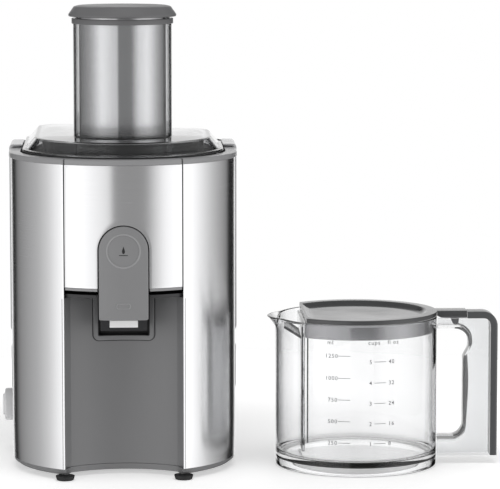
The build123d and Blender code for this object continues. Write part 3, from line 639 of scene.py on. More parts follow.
def front_panel():
    """Front skin round the rocker: a grid from the keyhole's edge out to the
    rectangle's edge. A point of the round top goes out along its own ray."""
    half, bottom, top = panel_high[0], panel_low[2], panel_high[2]
    hole = keyhole_path(ROCKER_W + 0.8, EYE_Z, bottom, 97)
    ray = hole - [0, EYE_Z]
    reach = np.minimum(half / np.maximum(np.abs(ray[:, 0]), 1e-6),
                       (top - EYE_Z) / np.maximum(ray[:, 1], 1e-6))
    outer = np.where(hole[:, 1:] > EYE_Z + 1e-6, [0, EYE_Z] + ray * reach[:, None],
                     np.c_[np.sign(hole[:, 0]) * half, hole[:, 1]])
    corner_ray = atan2(top - EYE_Z, half)
    angle = np.arctan2(ray[:, 1], np.abs(ray[:, 0]))
    at_corner = (np.abs(angle - corner_ray) < 0.017) & (hole[:, 1] > EYE_Z)
    outer[at_corner] = np.c_[np.sign(hole[at_corner, 0]) * half, np.full(at_corner.sum(), top)]
    share = np.linspace(0, 1, 13)[:, None, None]
    flat = hole[None] + (outer - hole)[None] * share
    grid = np.stack([flat[..., 0], body_round(flat[..., 0], BODY_R), flat[..., 1]], -1)
    piece("front_panel_skin", [shell(grid[:, ::-1], wrap_cols=False)], "juice_collector", "brushed_steel",
          ["front_panel"], thick=SHEET, bevel=0.22, closed=False)


def seam_shadow_strips():
    """Black strips in the joints between the skins, painted shadow that darkens the
    gaps: a flat arc section, x = r sin a, y = -r cos a, carried up from the
    panel's lower edge to the rim."""
    r1, r0 = BODY_R - SHEET - 0.1, BODY_R - SHEET - 1.0
    a = np.linspace(asin(49.05 / r1), asin(51.8 / r1), 5)
    loop = np.r_[front_arc(r1, a), front_arc(r0, a)[::-1]]
    height = np.linspace(panel_low[2] - 2, SKIN_TOP - 0.3, 3)
    strips = [shell(np.stack([level(loop * [side, 1], z) for z in height]), caps=BOTH) for side in (1, -1)]
    # Painted shadow: black_rubber here darkens the seams where only shade falls.
    piece("seam_shadow_strips", strips, "motor_block", "black_rubber")


def panel_lip():
    """Lip under the front panel, left and right of the rocker: rounded section
    swept round the arc, x = r sin a, y = -r cos a."""
    low, high = panel_low[2] - 2.6, panel_low[2] - 0.05
    section = box_outline(92.7, 97.15, low, high, [0.3, 0.7, 0.5, 0.1], 4)
    a = np.linspace(asin((ROCKER_W + 1.3) / 97), asin(SEAM / 97.15), 24)
    parts = [shell(swept_arc(section, side * a), caps=BOTH) for side in (1, -1)]
    piece("panel_lip", parts, "juice_collector", "rim_grey_plastic")


# ---- spout rocker ----
def rocker_levels():
    """(inset, depth) rows of the rocker from its back edge to its face."""
    t = np.linspace(0, pi / 2, 7)
    return [(0.35, 4.2), (0.0, 3.8)] + [(1.1 * (1 - cos(a)), 1.1 * (1 - sin(a))) for a in t]


def spout_rocker():
    """Curved rocker: keyhole outline with rounded edges bent onto the body's
    cylinder; the round top holds a shallow finger dish. The small raised frame
    near the lower end is made with the marks."""
    low = rocker_low[2]
    top = keyhole_path(ROCKER_W, EYE_Z, low + 1.2, 72)
    base = rounded([(ROCKER_W, low + 6), (ROCKER_W, low), (-ROCKER_W, low), (-ROCKER_W, low + 6)],
                   [0, 1.6, 1.6, 0])
    loop = anticlockwise(finer(np.r_[top, base[(base[:, 1] < low + 1.2)]], 1.2)[::-1])
    spine = np.c_[loop[:, 0] * 0.0, np.clip(loop[:, 1], low + 14, EYE_Z)]
    normal = inward(loop)
    rows = [np.c_[loop + normal * inset, np.full(len(loop), depth)] for inset, depth in rocker_levels()]
    last = rows[-1]
    for share in np.r_[0.99, np.linspace(0.96, 0.0, 34)]:
        rows.append(np.c_[spine + (last[:, :2] - spine) * share, last[:, 2]])
    grid = np.stack(rows)
    x, z, depth = grid[..., 0], grid[..., 1], grid[..., 2].copy()
    off = np.hypot(x, z - EYE_Z)
    dish = np.clip((14.9 - off) / 1.1, 0, 1)
    depth += np.where(depth < 0.01, 0.85 * dish * dish * (3 - 2 * dish) * (1 - 0.25 * (off / 15) ** 2), 0.0)
    face = np.stack([x, body_round(x, ROCKER_R, depth), z], -1)
    piece("rocker_body", [shell(face, caps=(True, False))], "rocker", "rocker_plastic", ["spout_rocker"],
          crease=60)


def on_rocker(flat, depth):
    """Places flat (x, z) points on the rocker's face, sunk by depth."""
    return np.stack([flat[..., 0], body_round(flat[..., 0], ROCKER_R, depth), flat[..., 1]], -1)


def raised_strip(loop, half, depth, rise):
    """Closed bead that follows a closed outline: a low half-round section."""
    normal = inward(loop)
    t = np.linspace(0, pi, 7)
    side, up = half * np.cos(t), rise * np.sin(t)
    flat = loop[None] + normal[None] * side[:, None, None]
    lift = np.broadcast_to((depth - up)[:, None], flat.shape[:2])
    grid = on_rocker(flat, lift)
    back = on_rocker(flat[::-1], np.full(flat.shape[:2], depth + 0.25))
    return shell(np.concatenate([grid, back[[0, -1]]]), wrap_rows=True)


def rocker_marks():
    """Drop over a line in the dish, and the raised frame near the lower end."""
    t = np.linspace(0, 2 * pi, 48, endpoint=False)
    drop = np.c_[1.75 * np.sin(t) * np.sin(t / 2) ** 1.6, EYE_Z + 0.9 + 3.1 * np.cos(t)]
    line = box_outline(-3.7, 3.7, EYE_Z - 3.8, EYE_Z - 3.2, 0.28, 4)
    marks = []
    for loop in (drop, line):
        centre = loop.mean(0)
        rings = [centre + (loop - centre) * s for s in (1.0, 1.0, 0.97, 0.0)]
        depths = (1.2, 0.74, 0.70, 0.70)
        grid = np.stack([on_rocker(r, np.full(len(r), d)) for r, d in zip(rings, depths)])
        marks.append(shell(grid, caps=(True, False)))
    piece("drop_icon", marks, "rocker", "icon_black")
    box = box_outline(-5.6, 5.6, BEAD_Z - 2.1, BEAD_Z + 2.1, 1.6, 6)
    # Painted highlight: the raised frame and dish ring take a lighter grey than the rocker.
    piece("rocker_bead", [raised_strip(box, 0.38, 0.05, 0.45)], "rocker", "ring_highlight_plastic",
          crease=60)
    ring = np.c_[DISH_R * np.sin(t), EYE_Z + DISH_R * np.cos(t)][::-1]
    piece("dish_ring", [raised_strip(finer(ring, 0.8), 0.95, 0.50, 0.36)], "rocker", "ring_highlight_plastic",
          crease=60)


# ---- rim ----
def front_rim():
    """Front piece of the rim between the seams: rounded section swept round the
    arc, x = r sin a, y = -r cos a."""
    section = box_outline(RIM_R - RIM_WALL, RIM_R, rim_low[2], rim_high[2], [0.3, 0.8, 1.4, 0.6], 5)
    half = asin(SEAM / RIM_R)
    grid = swept_arc(section, np.linspace(-half, half, 80))
    piece("front_rim", [shell(grid, caps=BOTH)], "juice_collector", "rim_grey_plastic",
          ["collector_rim"], bevel=0.25)


def rim_stations():
    """Outer and inner plan points of the side and rear rim, from the right seam
    round the back to the left seam; the outer one steps in behind each clamp."""
    inner_r, back_in = RIM_R - RIM_WALL, 91.0
    y0, y1 = clamp_low[1] - 0.5, clamp_high[1] + 0.5
    notch_x = 95.4
    first = asin((SEAM + 1.2) / RIM_R)
    a = np.linspace(first, pi / 2, 60)
    arc_out, arc_in = front_arc(RIM_R, a), front_arc(inner_r, a)
    y = np.array([12.0, y0 - 1.5, y0 - 0.01, y0, y1, y1 + 0.01, RIM_BACK - 4])
    x = np.array([RIM_R, RIM_R, RIM_R, notch_x, notch_x, RIM_R, RIM_R])
    side_out = np.c_[x, y]
    side_in = np.c_[np.full(len(y), inner_r), np.minimum(y, back_in - 2)]
    t = np.linspace(0, pi / 2, 7)[1:]
    corner_out = np.c_[RIM_R - 4 + 4 * np.cos(t), RIM_BACK - 4 + 4 * np.sin(t)]
    corner_in = np.c_[inner_r - 4 + 4 * np.cos(t), back_in - 4 + 4 * np.sin(t)]
    back_x = np.linspace(RIM_R - 8, 0, 14)
    back_out = np.c_[back_x, np.full(14, RIM_BACK)]
    back_in_path = np.c_[back_x * (inner_r - 5) / (RIM_R - 8), np.full(14, back_in)]
    out = np.r_[arc_out, side_out, corner_out, back_out]
    inn = np.r_[arc_in, side_in, corner_in, back_in_path]
    flip = np.array([-1, 1])
    return np.r_[out, out[-2::-1] * flip], np.r_[inn, inn[-2::-1] * flip]


def side_rim():
    """Side and rear rim: a rounded section carried between the inner and the outer
    plan line, P = inner + share * (outer - inner), at the section's height."""
    out, inn = rim_stations()
    width = np.linalg.norm(out - inn, axis=1)[:, None]
    low, high = rim_low[2], rim_high[2]
    section = box_outline(0, RIM_WALL, low, high, [0.3, 0.8, 1.4, 0.6], 5)
    from_out = RIM_WALL - section[None, :, 0]
    near_out = from_out < RIM_WALL / 2
    share = np.where(near_out, 1 - from_out / width, section[None, :, 0] / width)
    flat = between(inn, out, share)
    grid = np.concatenate([flat, np.broadcast_to(section[None, :, 1:], flat.shape[:2] + (1,))], -1)
    piece("side_rim", [shell(grid, caps=BOTH)], "motor_block", "rim_grey_plastic", ["rim_deck"],
          bevel=0.25)


# ---- clear lid with its chute ----
def volute(r, y_right, y_left, corner, per=(90, 12, 24, 30, 24, 12)):
    """Lid outline as one closed loop: front half circle, right side, rear right
    corner, rear edge, rear left corner, left side. Same count for every size."""
    a = np.linspace(-pi, 0, per[0], endpoint=False)
    front = np.c_[r * np.cos(a), r * np.sin(a)]
    right = np.c_[np.full(per[1], r), np.linspace(0, y_right - corner, per[1], endpoint=False)]
    t = np.linspace(0, pi / 2, per[2], endpoint=False)
    rear_right = np.c_[r - corner + corner * np.cos(t), y_right - corner + corner * np.sin(t)]
    back = np.c_[np.linspace(r - corner, corner - r, per[3], endpoint=False),
                 np.linspace(y_right, y_left, per[3], endpoint=False)]
    rear_left = np.c_[corner - r - corner * np.sin(t), y_left - corner + corner * np.cos(t)]
    left = np.c_[np.full(per[5], -r), np.linspace(y_left - corner, 0, per[5], endpoint=False)]
    return np.r_[front, right, rear_right, back, rear_left, left]


def around(r, like):
    """Circle whose points lie on the same rays as another outline's points."""
    a = np.arctan2(like[:, 1], like[:, 0])
    return np.c_[r * np.cos(a), r * np.sin(a)]


def bend(first, second, third, radius, steps=6):
    """Rings that round the corner between two rings' surfaces: each point moves on
    a quadratic curve that starts and ends radius away from the corner ring."""
    def toward(p, q):
        d = q - p
        n = np.linalg.norm(d, axis=1, keepdims=True)
        return p + d * np.minimum(radius / np.maximum(n, 1e-9), 0.49)
    start, stop = toward(second, first), toward(second, third)
    t = np.linspace(0, 1, steps + 1)[:, None, None]
    return list((1 - t) ** 2 * start + 2 * t * (1 - t) * second + t**2 * stop)


def ring_chain(rings, radii, closed):
    """Closed or open chain of rings with each corner rounded by its radius."""
    out = []
    count = len(rings)
    for i, ring in enumerate(rings):
        end = not closed and i in (0, count - 1)
        if end or radii[i] <= 0:
            out.append(ring)
        else:
            out += bend(rings[i - 1], ring, rings[(i + 1) % count], radii[i])
    return np.stack(out)


def lid_cover():
    """Clear lid as one closed skin: flange, sloping skirt, flat dome top and the
    chute's tube, carried as rings from the flange's edge in to the chute and back
    under the top."""
    flange_z = rim_high[2] + 0.4
    top = flange_z + 12.2
    skirt_low, skirt_top = volute(84, 92, 150, 26), volute(75.5, 85, 139, 22)
    under_low, under_top = volute(81.6, 89.4, 147.6, 24), volute(73.2, 82.8, 136.8, 20)
    flange = volute(86.4, 96, 157.5, 40)
    tube, bore = around(42.3, skirt_top), around(40.6, skirt_top)
    foot, mouth = lid_low[2] if lid_low[2] > 200 else 216.0, lid_high[2]
    rings = [level(loop, z) for loop, z in (
        (flange, flange_z), (flange, flange_z + 2), (skirt_low, flange_z + 2.2), (skirt_top, top), (tube, top),
        (tube, mouth), (bore, mouth), (bore, foot), (tube, foot), (tube, top - 2.2), (under_top, top - 2.2),
        (under_low, flange_z))]
    radii = [0.6, 0.8, 0.8, 1.6, 1.2, 0.7, 0.7, 0.6, 0.6, 0.6, 1.2, 0.3]
    body = ring_chain(rings, radii, closed=True)
    low, high = 261.0, top - 2.4
    section = box_outline(67.8, 69.4, low, high, 0.5, 4)
    baffle = turned(section, count=140, start=radians(12), stop=radians(12 - 278))
    arc = shell(np.swapaxes(baffle, 0, 1), wrap_cols=True, caps=BOTH)
    piece("lid_shell", [shell(body, wrap_rows=True), arc], "lid", "lid_clear", ["lid_cover"],
          crease=50)
    wide, tight = volute(86.65, 96.25, 157.75, 40), volute(84.8, 94.6, 156.0, 38)
    seal = ring_chain([level(wide, flange_z - 0.3), level(wide, flange_z + 0.7), level(tight, flange_z + 0.7),
                       level(tight, flange_z - 0.3)], [0.2] * 4, closed=True)
    piece("lid_seal", [shell(seal, wrap_rows=True)], "lid", "dark_plastic", crease=50)


def chute_band():
    """Grey band round the chute's mouth."""
    r0, r1 = ring_high[0] - 1.15, ring_high[0]
    section = box_outline(r0, r1, ring_low[2], ring_high[2], [0.2, 0.4, 0.7, 0.2], 5)
    piece("chute_band", [turned_ring(section)], "lid", "cap_plastic", ["chute_ring"])


# ---- pusher ----
def pusher():
    """Cap with a bevelled flank and rolled edge, and the brushed sleeve; each is a
    profile turned about the spindle's axis."""
    r, low, high = cap_high[0], cap_low[2], cap_high[2]
    cap = axis_to_axis([(0, low), (r - 0.5, low), (r, low + 1.6), (r - 4.9, high - 1.0), (r - 8.5, high - 0.1),
                        (0, high)], [0, 0.7, 1.5, 1.6, 4.0, 0], 8)
    piece("pusher_cap_top", [turned_solid(cap, count=192)], "pusher", "cap_plastic", ["pusher_cap"],
          crease=50)
    s, z0, z1 = sleeve_high[0], sleeve_low[2], sleeve_high[2]
    wall = box_outline(s - 0.8, s, z0, z1, [0.3, 0.39, 0.1, 0.1], 4)
    piece("pusher_sleeve_tube", [turned_ring(wall, count=192)], "pusher", "pusher_steel", ["pusher_sleeve"])


def plunger():
    """Hollow core of the pusher; its foot carries rings of blunt ribs."""
    low, high = span("pusher_core")
    outer, core, foot, step = 39.6, sleeve_high[0] - 0.85, low[2], sleeve_low[2]
    rib = [(-1.6, 1.2), (-1.0, 0.0), (1.0, 0.0), (1.6, 1.2)]
    edge = [(r + x, foot + z) for r in np.arange(6, 37, 6.0) for x, z in rib]
    wall = rounded([(37.8, foot + 1.2), (outer, foot + 2.6), (outer, step - 0.1), (core, step - 0.1),
                    (core, high[2]), (core - 2.4, high[2]), (core - 2.4, foot + 4), (20, foot + 4)],
                   [0.3, 1.2, 0.8, 0, 0, 0, 3, 0], 5)
    whole = np.r_[[(0, foot + 1.2)], edge, wall, [[0, foot + 4]]]
    piece("pusher_plunger", [turned_solid(whole)], "pusher", "pusher_plastic", ["pusher_core"],
          crease=40)


# ---- clamps and knob ----
def clamps():
    """Clamps: side profile with a round knuckle, a plate with a finger scoop and a
    head that turns in over the rim, carried along Y with rounded side edges."""
    y0, y1 = clamp_low[1], clamp_high[1]
    axis_x, axis_z = 93.0, 115.0
    top, face = clamp_high[2], clamp_high[0]
    inner = 95.8
    turn = np.linspace(-1.9 * pi / 2, -0.02, 14)
    knuckle = np.c_[axis_x + 6.0 * np.cos(turn), axis_z + 6.0 * np.sin(turn)]
    plate = rounded([(face, axis_z + 2), (face, top), (87.3, top), (87.3, rim_high[2] + 0.4),
                     (inner, rim_high[2] + 0.4), (inner, axis_z + 5.4)], [0, 3.2, 1.0, 0.6, 1.2, 0.5], 7)
    loop = anticlockwise(finer(np.r_[plate, knuckle], 9.0))
    t = np.linspace(0, pi / 2, 5)
    inset, along = 0.9 * (1 - np.sin(t)), 0.9 * (1 - np.cos(t))
    y = np.r_[y0 + along, np.linspace(y0 + 3, y1 - 3, 12), y1 - along[::-1]]
    grid = across(loop, y, np.r_[inset, np.zeros(12), inset[::-1]])
    wide = np.clip(1 - ((grid[..., 1] - (y0 + y1) / 2) / 15) ** 2, 0, 1)
    high = np.clip(1 - ((grid[..., 2] - 244) / 9) ** 2, 0, 1)
    grid[..., 0] -= (grid[..., 0] > face - 0.4) * 1.3 * wide * high
    for side, name in ((1, "clamp_right"), (-1, "clamp_left")):
        piece(name + "_lever", [shell(grid * [side, 1, 1], caps=BOTH)], "clamp_r" if side > 0 else "clamp_l",
              "silver_plastic", [name], crease=40)


def speed_knob():
    """Knob turned about the X axis: drum with a rounded edge and a sunk face, a
    finger bar with soft ends across it, and knurl flutes round the drum."""
    y, z = (knob_low[1] + knob_high[1]) / 2, (knob_low[2] + knob_high[2]) / 2
    face, r = -knob_low[0], (knob_high[1] - knob_low[1]) / 2
    profile = axis_to_axis([(0, 97.2), (r, 97.2), (r, 105.3), (r - 3.6, 105.3), (r - 4.4, 104.2), (0, 104.2)],
                           [0, 0.5, 1.5, 0.5, 0.8, 0], 6)
    a = np.linspace(0, 2 * pi, 180, endpoint=False)[None, :]
    radius, out = profile[:, :1], profile[:, 1:]
    flute = 0.18 * (radius > r - 0.3) * (out > 98) * (out < 104.5) * (np.cos(36 * a) ** 2)
    drum = np.stack([-(out + 0 * a), y + (radius - flute) * np.cos(a), z + (radius - flute) * np.sin(a)], -1)
    loop = box_outline(y - 2.6, y + 2.6, z - 9.6, z + 9.6, 2.5, 7)
    normal = inward(loop)
    rows = [np.c_[np.full(len(loop), -h), loop + normal * i] for i, h in round_edge(1.2, 103.8, face)]
    rows.append(np.c_[np.full(len(loop), -face), loop.mean(0) + (loop - loop.mean(0)) * 0.4])
    bar = np.stack(rows)
    piece("speed_knob_drum", [shell(drum), shell(bar, caps=BOTH)], "knob", "knob_plastic",
          ["speed_knob"], crease=40)


# ---- glass bay ----
BAY_EDGE = np.array([45.0, -68.0])       # plan place where the concave wall ends
BAY_MIDDLE = -53.0                       # its Y in the middle
BAY_R = (BAY_EDGE[0] ** 2 + (BAY_MIDDLE - BAY_EDGE[1]) ** 2) / (2 * (BAY_MIDDLE - BAY_EDGE[1]))
POCKET_HALF, POCKET_SILL = 21.4, 119.7   # half width and sill of the spout pocket


def bay_path():
    """Plan line of the bay, from the left front edge round the concave wall to the
    right front edge. The wall is the circle through its two edges and its middle."""
    half = asin(BAY_EDGE[0] / BAY_R)
    a = np.linspace(-half, half, 61)
    wall = np.c_[BAY_R * np.sin(a), BAY_MIDDLE - BAY_R * (1 - np.cos(a))]
    side_x = 49.5
    front = -sqrt(95.5**2 - side_x**2)
    right = [[side_x, -75.5], [side_x, front], [0, front]]
    knee = rounded(np.r_[wall[-3:-2], [BAY_EDGE], right], [0, 2.0, 3.0, 0, 0], 6)
    tail = knee[knee[:, 0] > BAY_EDGE[0] - 3.5]
    return np.r_[tail[::-1] * [-1, 1], wall[3:-3], tail]


def wall_y(x):
    """Y of the bay's concave wall at x."""
    return BAY_MIDDLE - BAY_R + np.sqrt(BAY_R**2 - x**2)


def on_wall(flat, out):
    """Flat (x, z) points laid on the bay's wall, standing out from it by out."""
    return np.stack([flat[..., 0], wall_y(flat[..., 0]) - out, flat[..., 1]], -1)


def recess_wall():
    """Concave wall: the plan line as columns, heights as rows, with the faces of
    the spout pocket left out, then thickened away from the bay."""
    low, high = span("recess_wall")
    path = bay_path()
    half, sill = POCKET_HALF, POCKET_SILL
    snap = np.abs(np.abs(path[:, 0]) - half) < 0.9
    path[snap, 0] = np.sign(path[snap, 0]) * half
    path[snap, 1] = wall_y(path[snap, 0])
    height = np.unique(np.r_[np.linspace(low[2], sill, 14), np.linspace(sill, high[2], 6)])
    grid = np.concatenate([np.broadcast_to(path, (len(height),) + path.shape),
                           np.broadcast_to(height[:, None, None], (len(height), len(path), 1))], -1)
    points, faces = shell(grid, wrap_cols=False)
    centre = np.array([points[f].mean(0) for f in faces])
    hole = (np.abs(centre[:, 0]) < half) & (centre[:, 2] > sill) & (centre[:, 1] > -70)
    kept = [f for f, out in zip(faces, hole) if not out]
    piece("bay_wall", [(points, kept)], "motor_block", "mid_grey_plastic", ["recess_wall"],
          thick=2.4, bevel=0.3, closed=False)


def recess_frame():
    """Raised U round the pocket: rounded section between its outer and inner U
    lines, laid on the concave wall."""
    x1, z0, z1 = frame_high[0], frame_low[2], frame_high[2]
    x0, sill = POCKET_HALF, POCKET_SILL
    outer = rounded([(-x1, z1), (-x1, z0), (x1, z0), (x1, z1)], [0, 5.2, 5.2, 0], 10)
    inner = rounded([(-x0, z1), (-x0, sill), (x0, sill), (x0, z1)], [0, 0.9, 0.9, 0], 10)
    count = min(len(outer), len(inner))
    outer, inner = outer[:count], inner[:count]
    full_out, full_in = finer_pair(outer, inner, 3.0)
    section = box_outline(0, 4.4, -2.2, 1.6, [0.2, 0.2, 1.0, 0.5], 5)
    flat = between(full_in, full_out, section[None, :, 0] / 4.4)
    grid = on_wall(flat, section[None, :, 1])
    piece("pocket_frame", [shell(grid, caps=BOTH)], "motor_block", "mid_grey_plastic", ["recess_frame"],
          crease=40)
    # Painted shadow: thin dark lines along the frame's outer edge and inner sill edge, where shade falls in the
    # creases.
    lines = []
    shadow_line_edges = (((x1, z0), (x1 + 0.75, z0 - 0.75), 5.2, 5.9, 0.35),
              ((x0 - 0.1, sill + 0.1), (x0 + 0.55, sill - 0.55), 0.9, 1.4, 1.75))
    for first, second, r_first, r_second, depth in shadow_line_edges:
        pair = [rounded([(-x, z1 - 0.4), (-x, z), (x, z), (x, z1 - 0.4)], [0, r, r, 0], 10)
                for (x, z), r in ((first, r_first), (second, r_second))]
        inside, outside = finer_pair(*pair, 3.0)
        edge = box_outline(0, 1, -1.0, depth, 0.12, 3)
        flat = between(inside, outside, edge[None, :, 0])
        lines.append(shell(on_wall(flat, edge[None, :, 1]), caps=BOTH))
    piece("frame_shadow_lines", lines, "motor_block", "dark_plastic", crease=40)


def finer_pair(first, second, step):
    """Adds matching points to two open lines of equal count, by share of each edge."""
    length = np.linalg.norm(np.diff(first, axis=0), axis=1)
    cuts = [np.linspace(k, k + 1, max(int(d / step), 1), endpoint=False) for k, d in enumerate(length)]
    where = np.r_[np.concatenate(cuts), len(first) - 1]
    index = np.arange(len(first))
    pick = [np.stack([np.interp(where, index, p[:, k]) for k in (0, 1)], 1) for p in (first, second)]
    return pick[0], pick[1]


# ---- CAD shapes with softened edges ----
def softened(node, finish, width):
    """Copy of a CAD node's mesh, its triangles merged into whole faces and its
    edges rounded, for plain mouldings."""
    source = nodes[node]
    mesh = source.data.copy()
    mesh.name = node + "_soft"
    build = bmesh.new()
    build.from_mesh(mesh)
    bmesh.ops.remove_doubles(build, verts=build.verts, dist=2e-6)
    bmesh.ops.dissolve_limit(build, angle_limit=radians(0.6), verts=build.verts, edges=build.edges)
    build.to_mesh(mesh)
    build.free()
    mesh.materials.clear()
    mesh.materials.append(FINISH[finish])
    smooth(mesh, 30)
    made = placed(node + "_moulding", mesh)
    soften_edges(made, width, 30)
    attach(made, source["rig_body"])
    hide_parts(node)


# ---- feet ----
def feet():
    """Four rubber feet: turned profile with a rounded tread edge."""
    high = span("foot_pads")[1]
    r = 7.3
    places = [(-50, -80), (50, -80), (-64, 140), (64, 140)]
    profile = axis_to_axis([(0, 0), (r - 0.3, 0), (r + 0.9, high[2]), (0, high[2])], [0, 1.1, 0.3, 0], 6)
    piece("rubber_feet", [turned_solid(profile, p, 64) for p in places], "motor_block", "black_rubber",
          ["foot_pads"], crease=50)


# ---- filter basket ----
def sieve():
    """Conical sieve with real holes. A cell of the grid is a ring of eight faces
    round its hole; cells repeat round the cone and up its wall."""
    low, high = span("filter_basket")
    cells_round, cells_up = 132, 22
    r0, r1 = 51.5, high[0]
    z0, z1 = low[2] + 2.0, high[2] - 1.5
    corner = np.array([(-1, -1), (0, -1), (1, -1), (1, 0), (1, 1), (0, 1), (-1, 1), (-1, 0)]) / 2
    hole = corner / np.linalg.norm(corner, axis=1, keepdims=True) * 0.27
    i, j = np.meshgrid(np.arange(cells_round), np.arange(cells_up), indexing="ij")
    centre = np.stack([i, j], -1).reshape(-1, 1, 2) + 0.5
    cell = np.concatenate([centre + corner, centre + hole], 1)
    angle = cell[..., 0] / cells_round * 2 * pi
    share = cell[..., 1] / cells_up
    r = r0 + (r1 - r0) * share - 0.12
    points = np.stack([r * np.cos(angle), r * np.sin(angle), z0 + (z1 - z0) * share], -1).reshape(-1, 3)
    k = np.arange(8)
    face = np.stack([k, (k + 1) % 8, 8 + (k + 1) % 8, 8 + k], 1)
    faces = (np.arange(cells_round * cells_up)[:, None, None] * 16 + face[None]).reshape(-1, 4)
    piece("sieve_cone", [(points, faces)], "filter", "spring_steel", closed=False,
          thick=0.35)
    foot = [(r0 - 1.3, low[2]), (r0 - 0.2, low[2]), (r0 + 0.25, z0 + 0.4), (r0 - 0.6, z0 + 0.4)]
    head = [(r1 - 1.2, z1 - 0.4), (r1 - 0.15, z1 - 0.4), (r1, high[2]), (r1 - 1.0, high[2])]
    piece("sieve_bands", [turned_ring(rounded(band, 0.2, 3)) for band in (foot, head)], "filter", "spring_steel",
          ["filter_basket"])


# ---- jug ----
def jug_ring(r, z, spout_centre=None, spout_r=0.0, count=240):
    """Level ring of the jug at height z: its circle, or where the pouring lip stands
    further out, the lip's own circle as seen along each ray from the jug's axis."""
    a = np.linspace(0, 2 * pi, count, endpoint=False)
    radius = np.full(count, float(r))
    if spout_r:
        c = spout_centre
        inside = spout_r**2 - (c * np.sin(a)) ** 2
        lip = -c * np.cos(a) + np.sqrt(np.maximum(inside, 0))
        lip = np.where((inside > 0) & (np.cos(a) < -0.2), lip, 0)
        soft = 2.0                       # width over which lip and wall run together
        gap = (lip - r) / soft
        radius = r + soft * (np.log(1 + np.exp(gap)) - 0.9 * np.log(1 + np.exp(-np.abs(gap))))
    return np.c_[JUG[0] + radius * np.cos(a), JUG[1] + radius * np.sin(a), np.full(count, float(z))]


def jug_wall():
    """Clear jug as one closed skin from the middle of its underside, over the foot
    ring, up the wall to the rim with its pouring lip, and down inside to the floor."""
    r, h, w = JUG_R, JUG_H, JUG_WALL
    a = np.linspace(0, pi / 2, 5)
    rows = [(0.01, 8.5), (r - 8, 8.5)]
    rows += [(r - 6.2 + 1.4 * sin(t), 8.5 - 1.4 * (1 - cos(t))) for t in a]
    rows += [(r - 4.2, 1.2), (r - 3.6, 0.2), (r - 3.0, 0.0), (r - 2.0, 0.0)]
    rows += [(r - 2.0 + 2.0 * sin(t), 2.0 - 2.0 * cos(t)) for t in a[1:]]
    rows += [(r, z) for z in np.linspace(6, 112, 16)]
    flare = np.linspace(0, 1, 12)
    rise = 114 + (h - 0.6 - 114) * flare
    out_c, out_r = 38.0 + 7.0 * flare**1.3, 29.0 + 3.0 * flare**1.6
    rows += [(r, z, c, s) for z, c, s in zip(rise, out_c, out_r)]
    c, s = out_c[-1], out_r[-1]
    rows += [(r - 0.3, h - 0.15, c, s - 0.3), (r - 0.8, h, c, s - 0.8),
             (r - w + 0.8, h, c, s - w + 0.8), (r - w + 0.3, h - 0.15, c, s - w + 0.3)]
    rows += [(r - w, z, c, s - w) for z, c, s in list(zip(rise, out_c, out_r))[::-1]]
    rows += [(r - w, z) for z in np.linspace(112, 18, 15)]
    rows += [(r - w - 4 + 4 * cos(t), 15.5 - 4 * sin(t)) for t in np.linspace(0, pi / 2, 7)]
    rows += [(r - 20, 11.5), (0.01, 11.5)]
    return shell(np.stack([jug_ring(*row) for row in rows]), caps=BOTH)


def ray_radius(loop, centre, angle):
    """Distance from centre to a star-shaped outline along each angle."""
    d = finer(loop, 0.4) - centre
    at = np.unwrap(np.arctan2(d[:, 1], d[:, 0]))
    order = np.argsort(at)
    at, far = at[order], np.hypot(d[:, 0], d[:, 1])[order]
    return np.interp(angle, np.r_[at - 2 * pi, at, at + 2 * pi], np.r_[far, far, far])


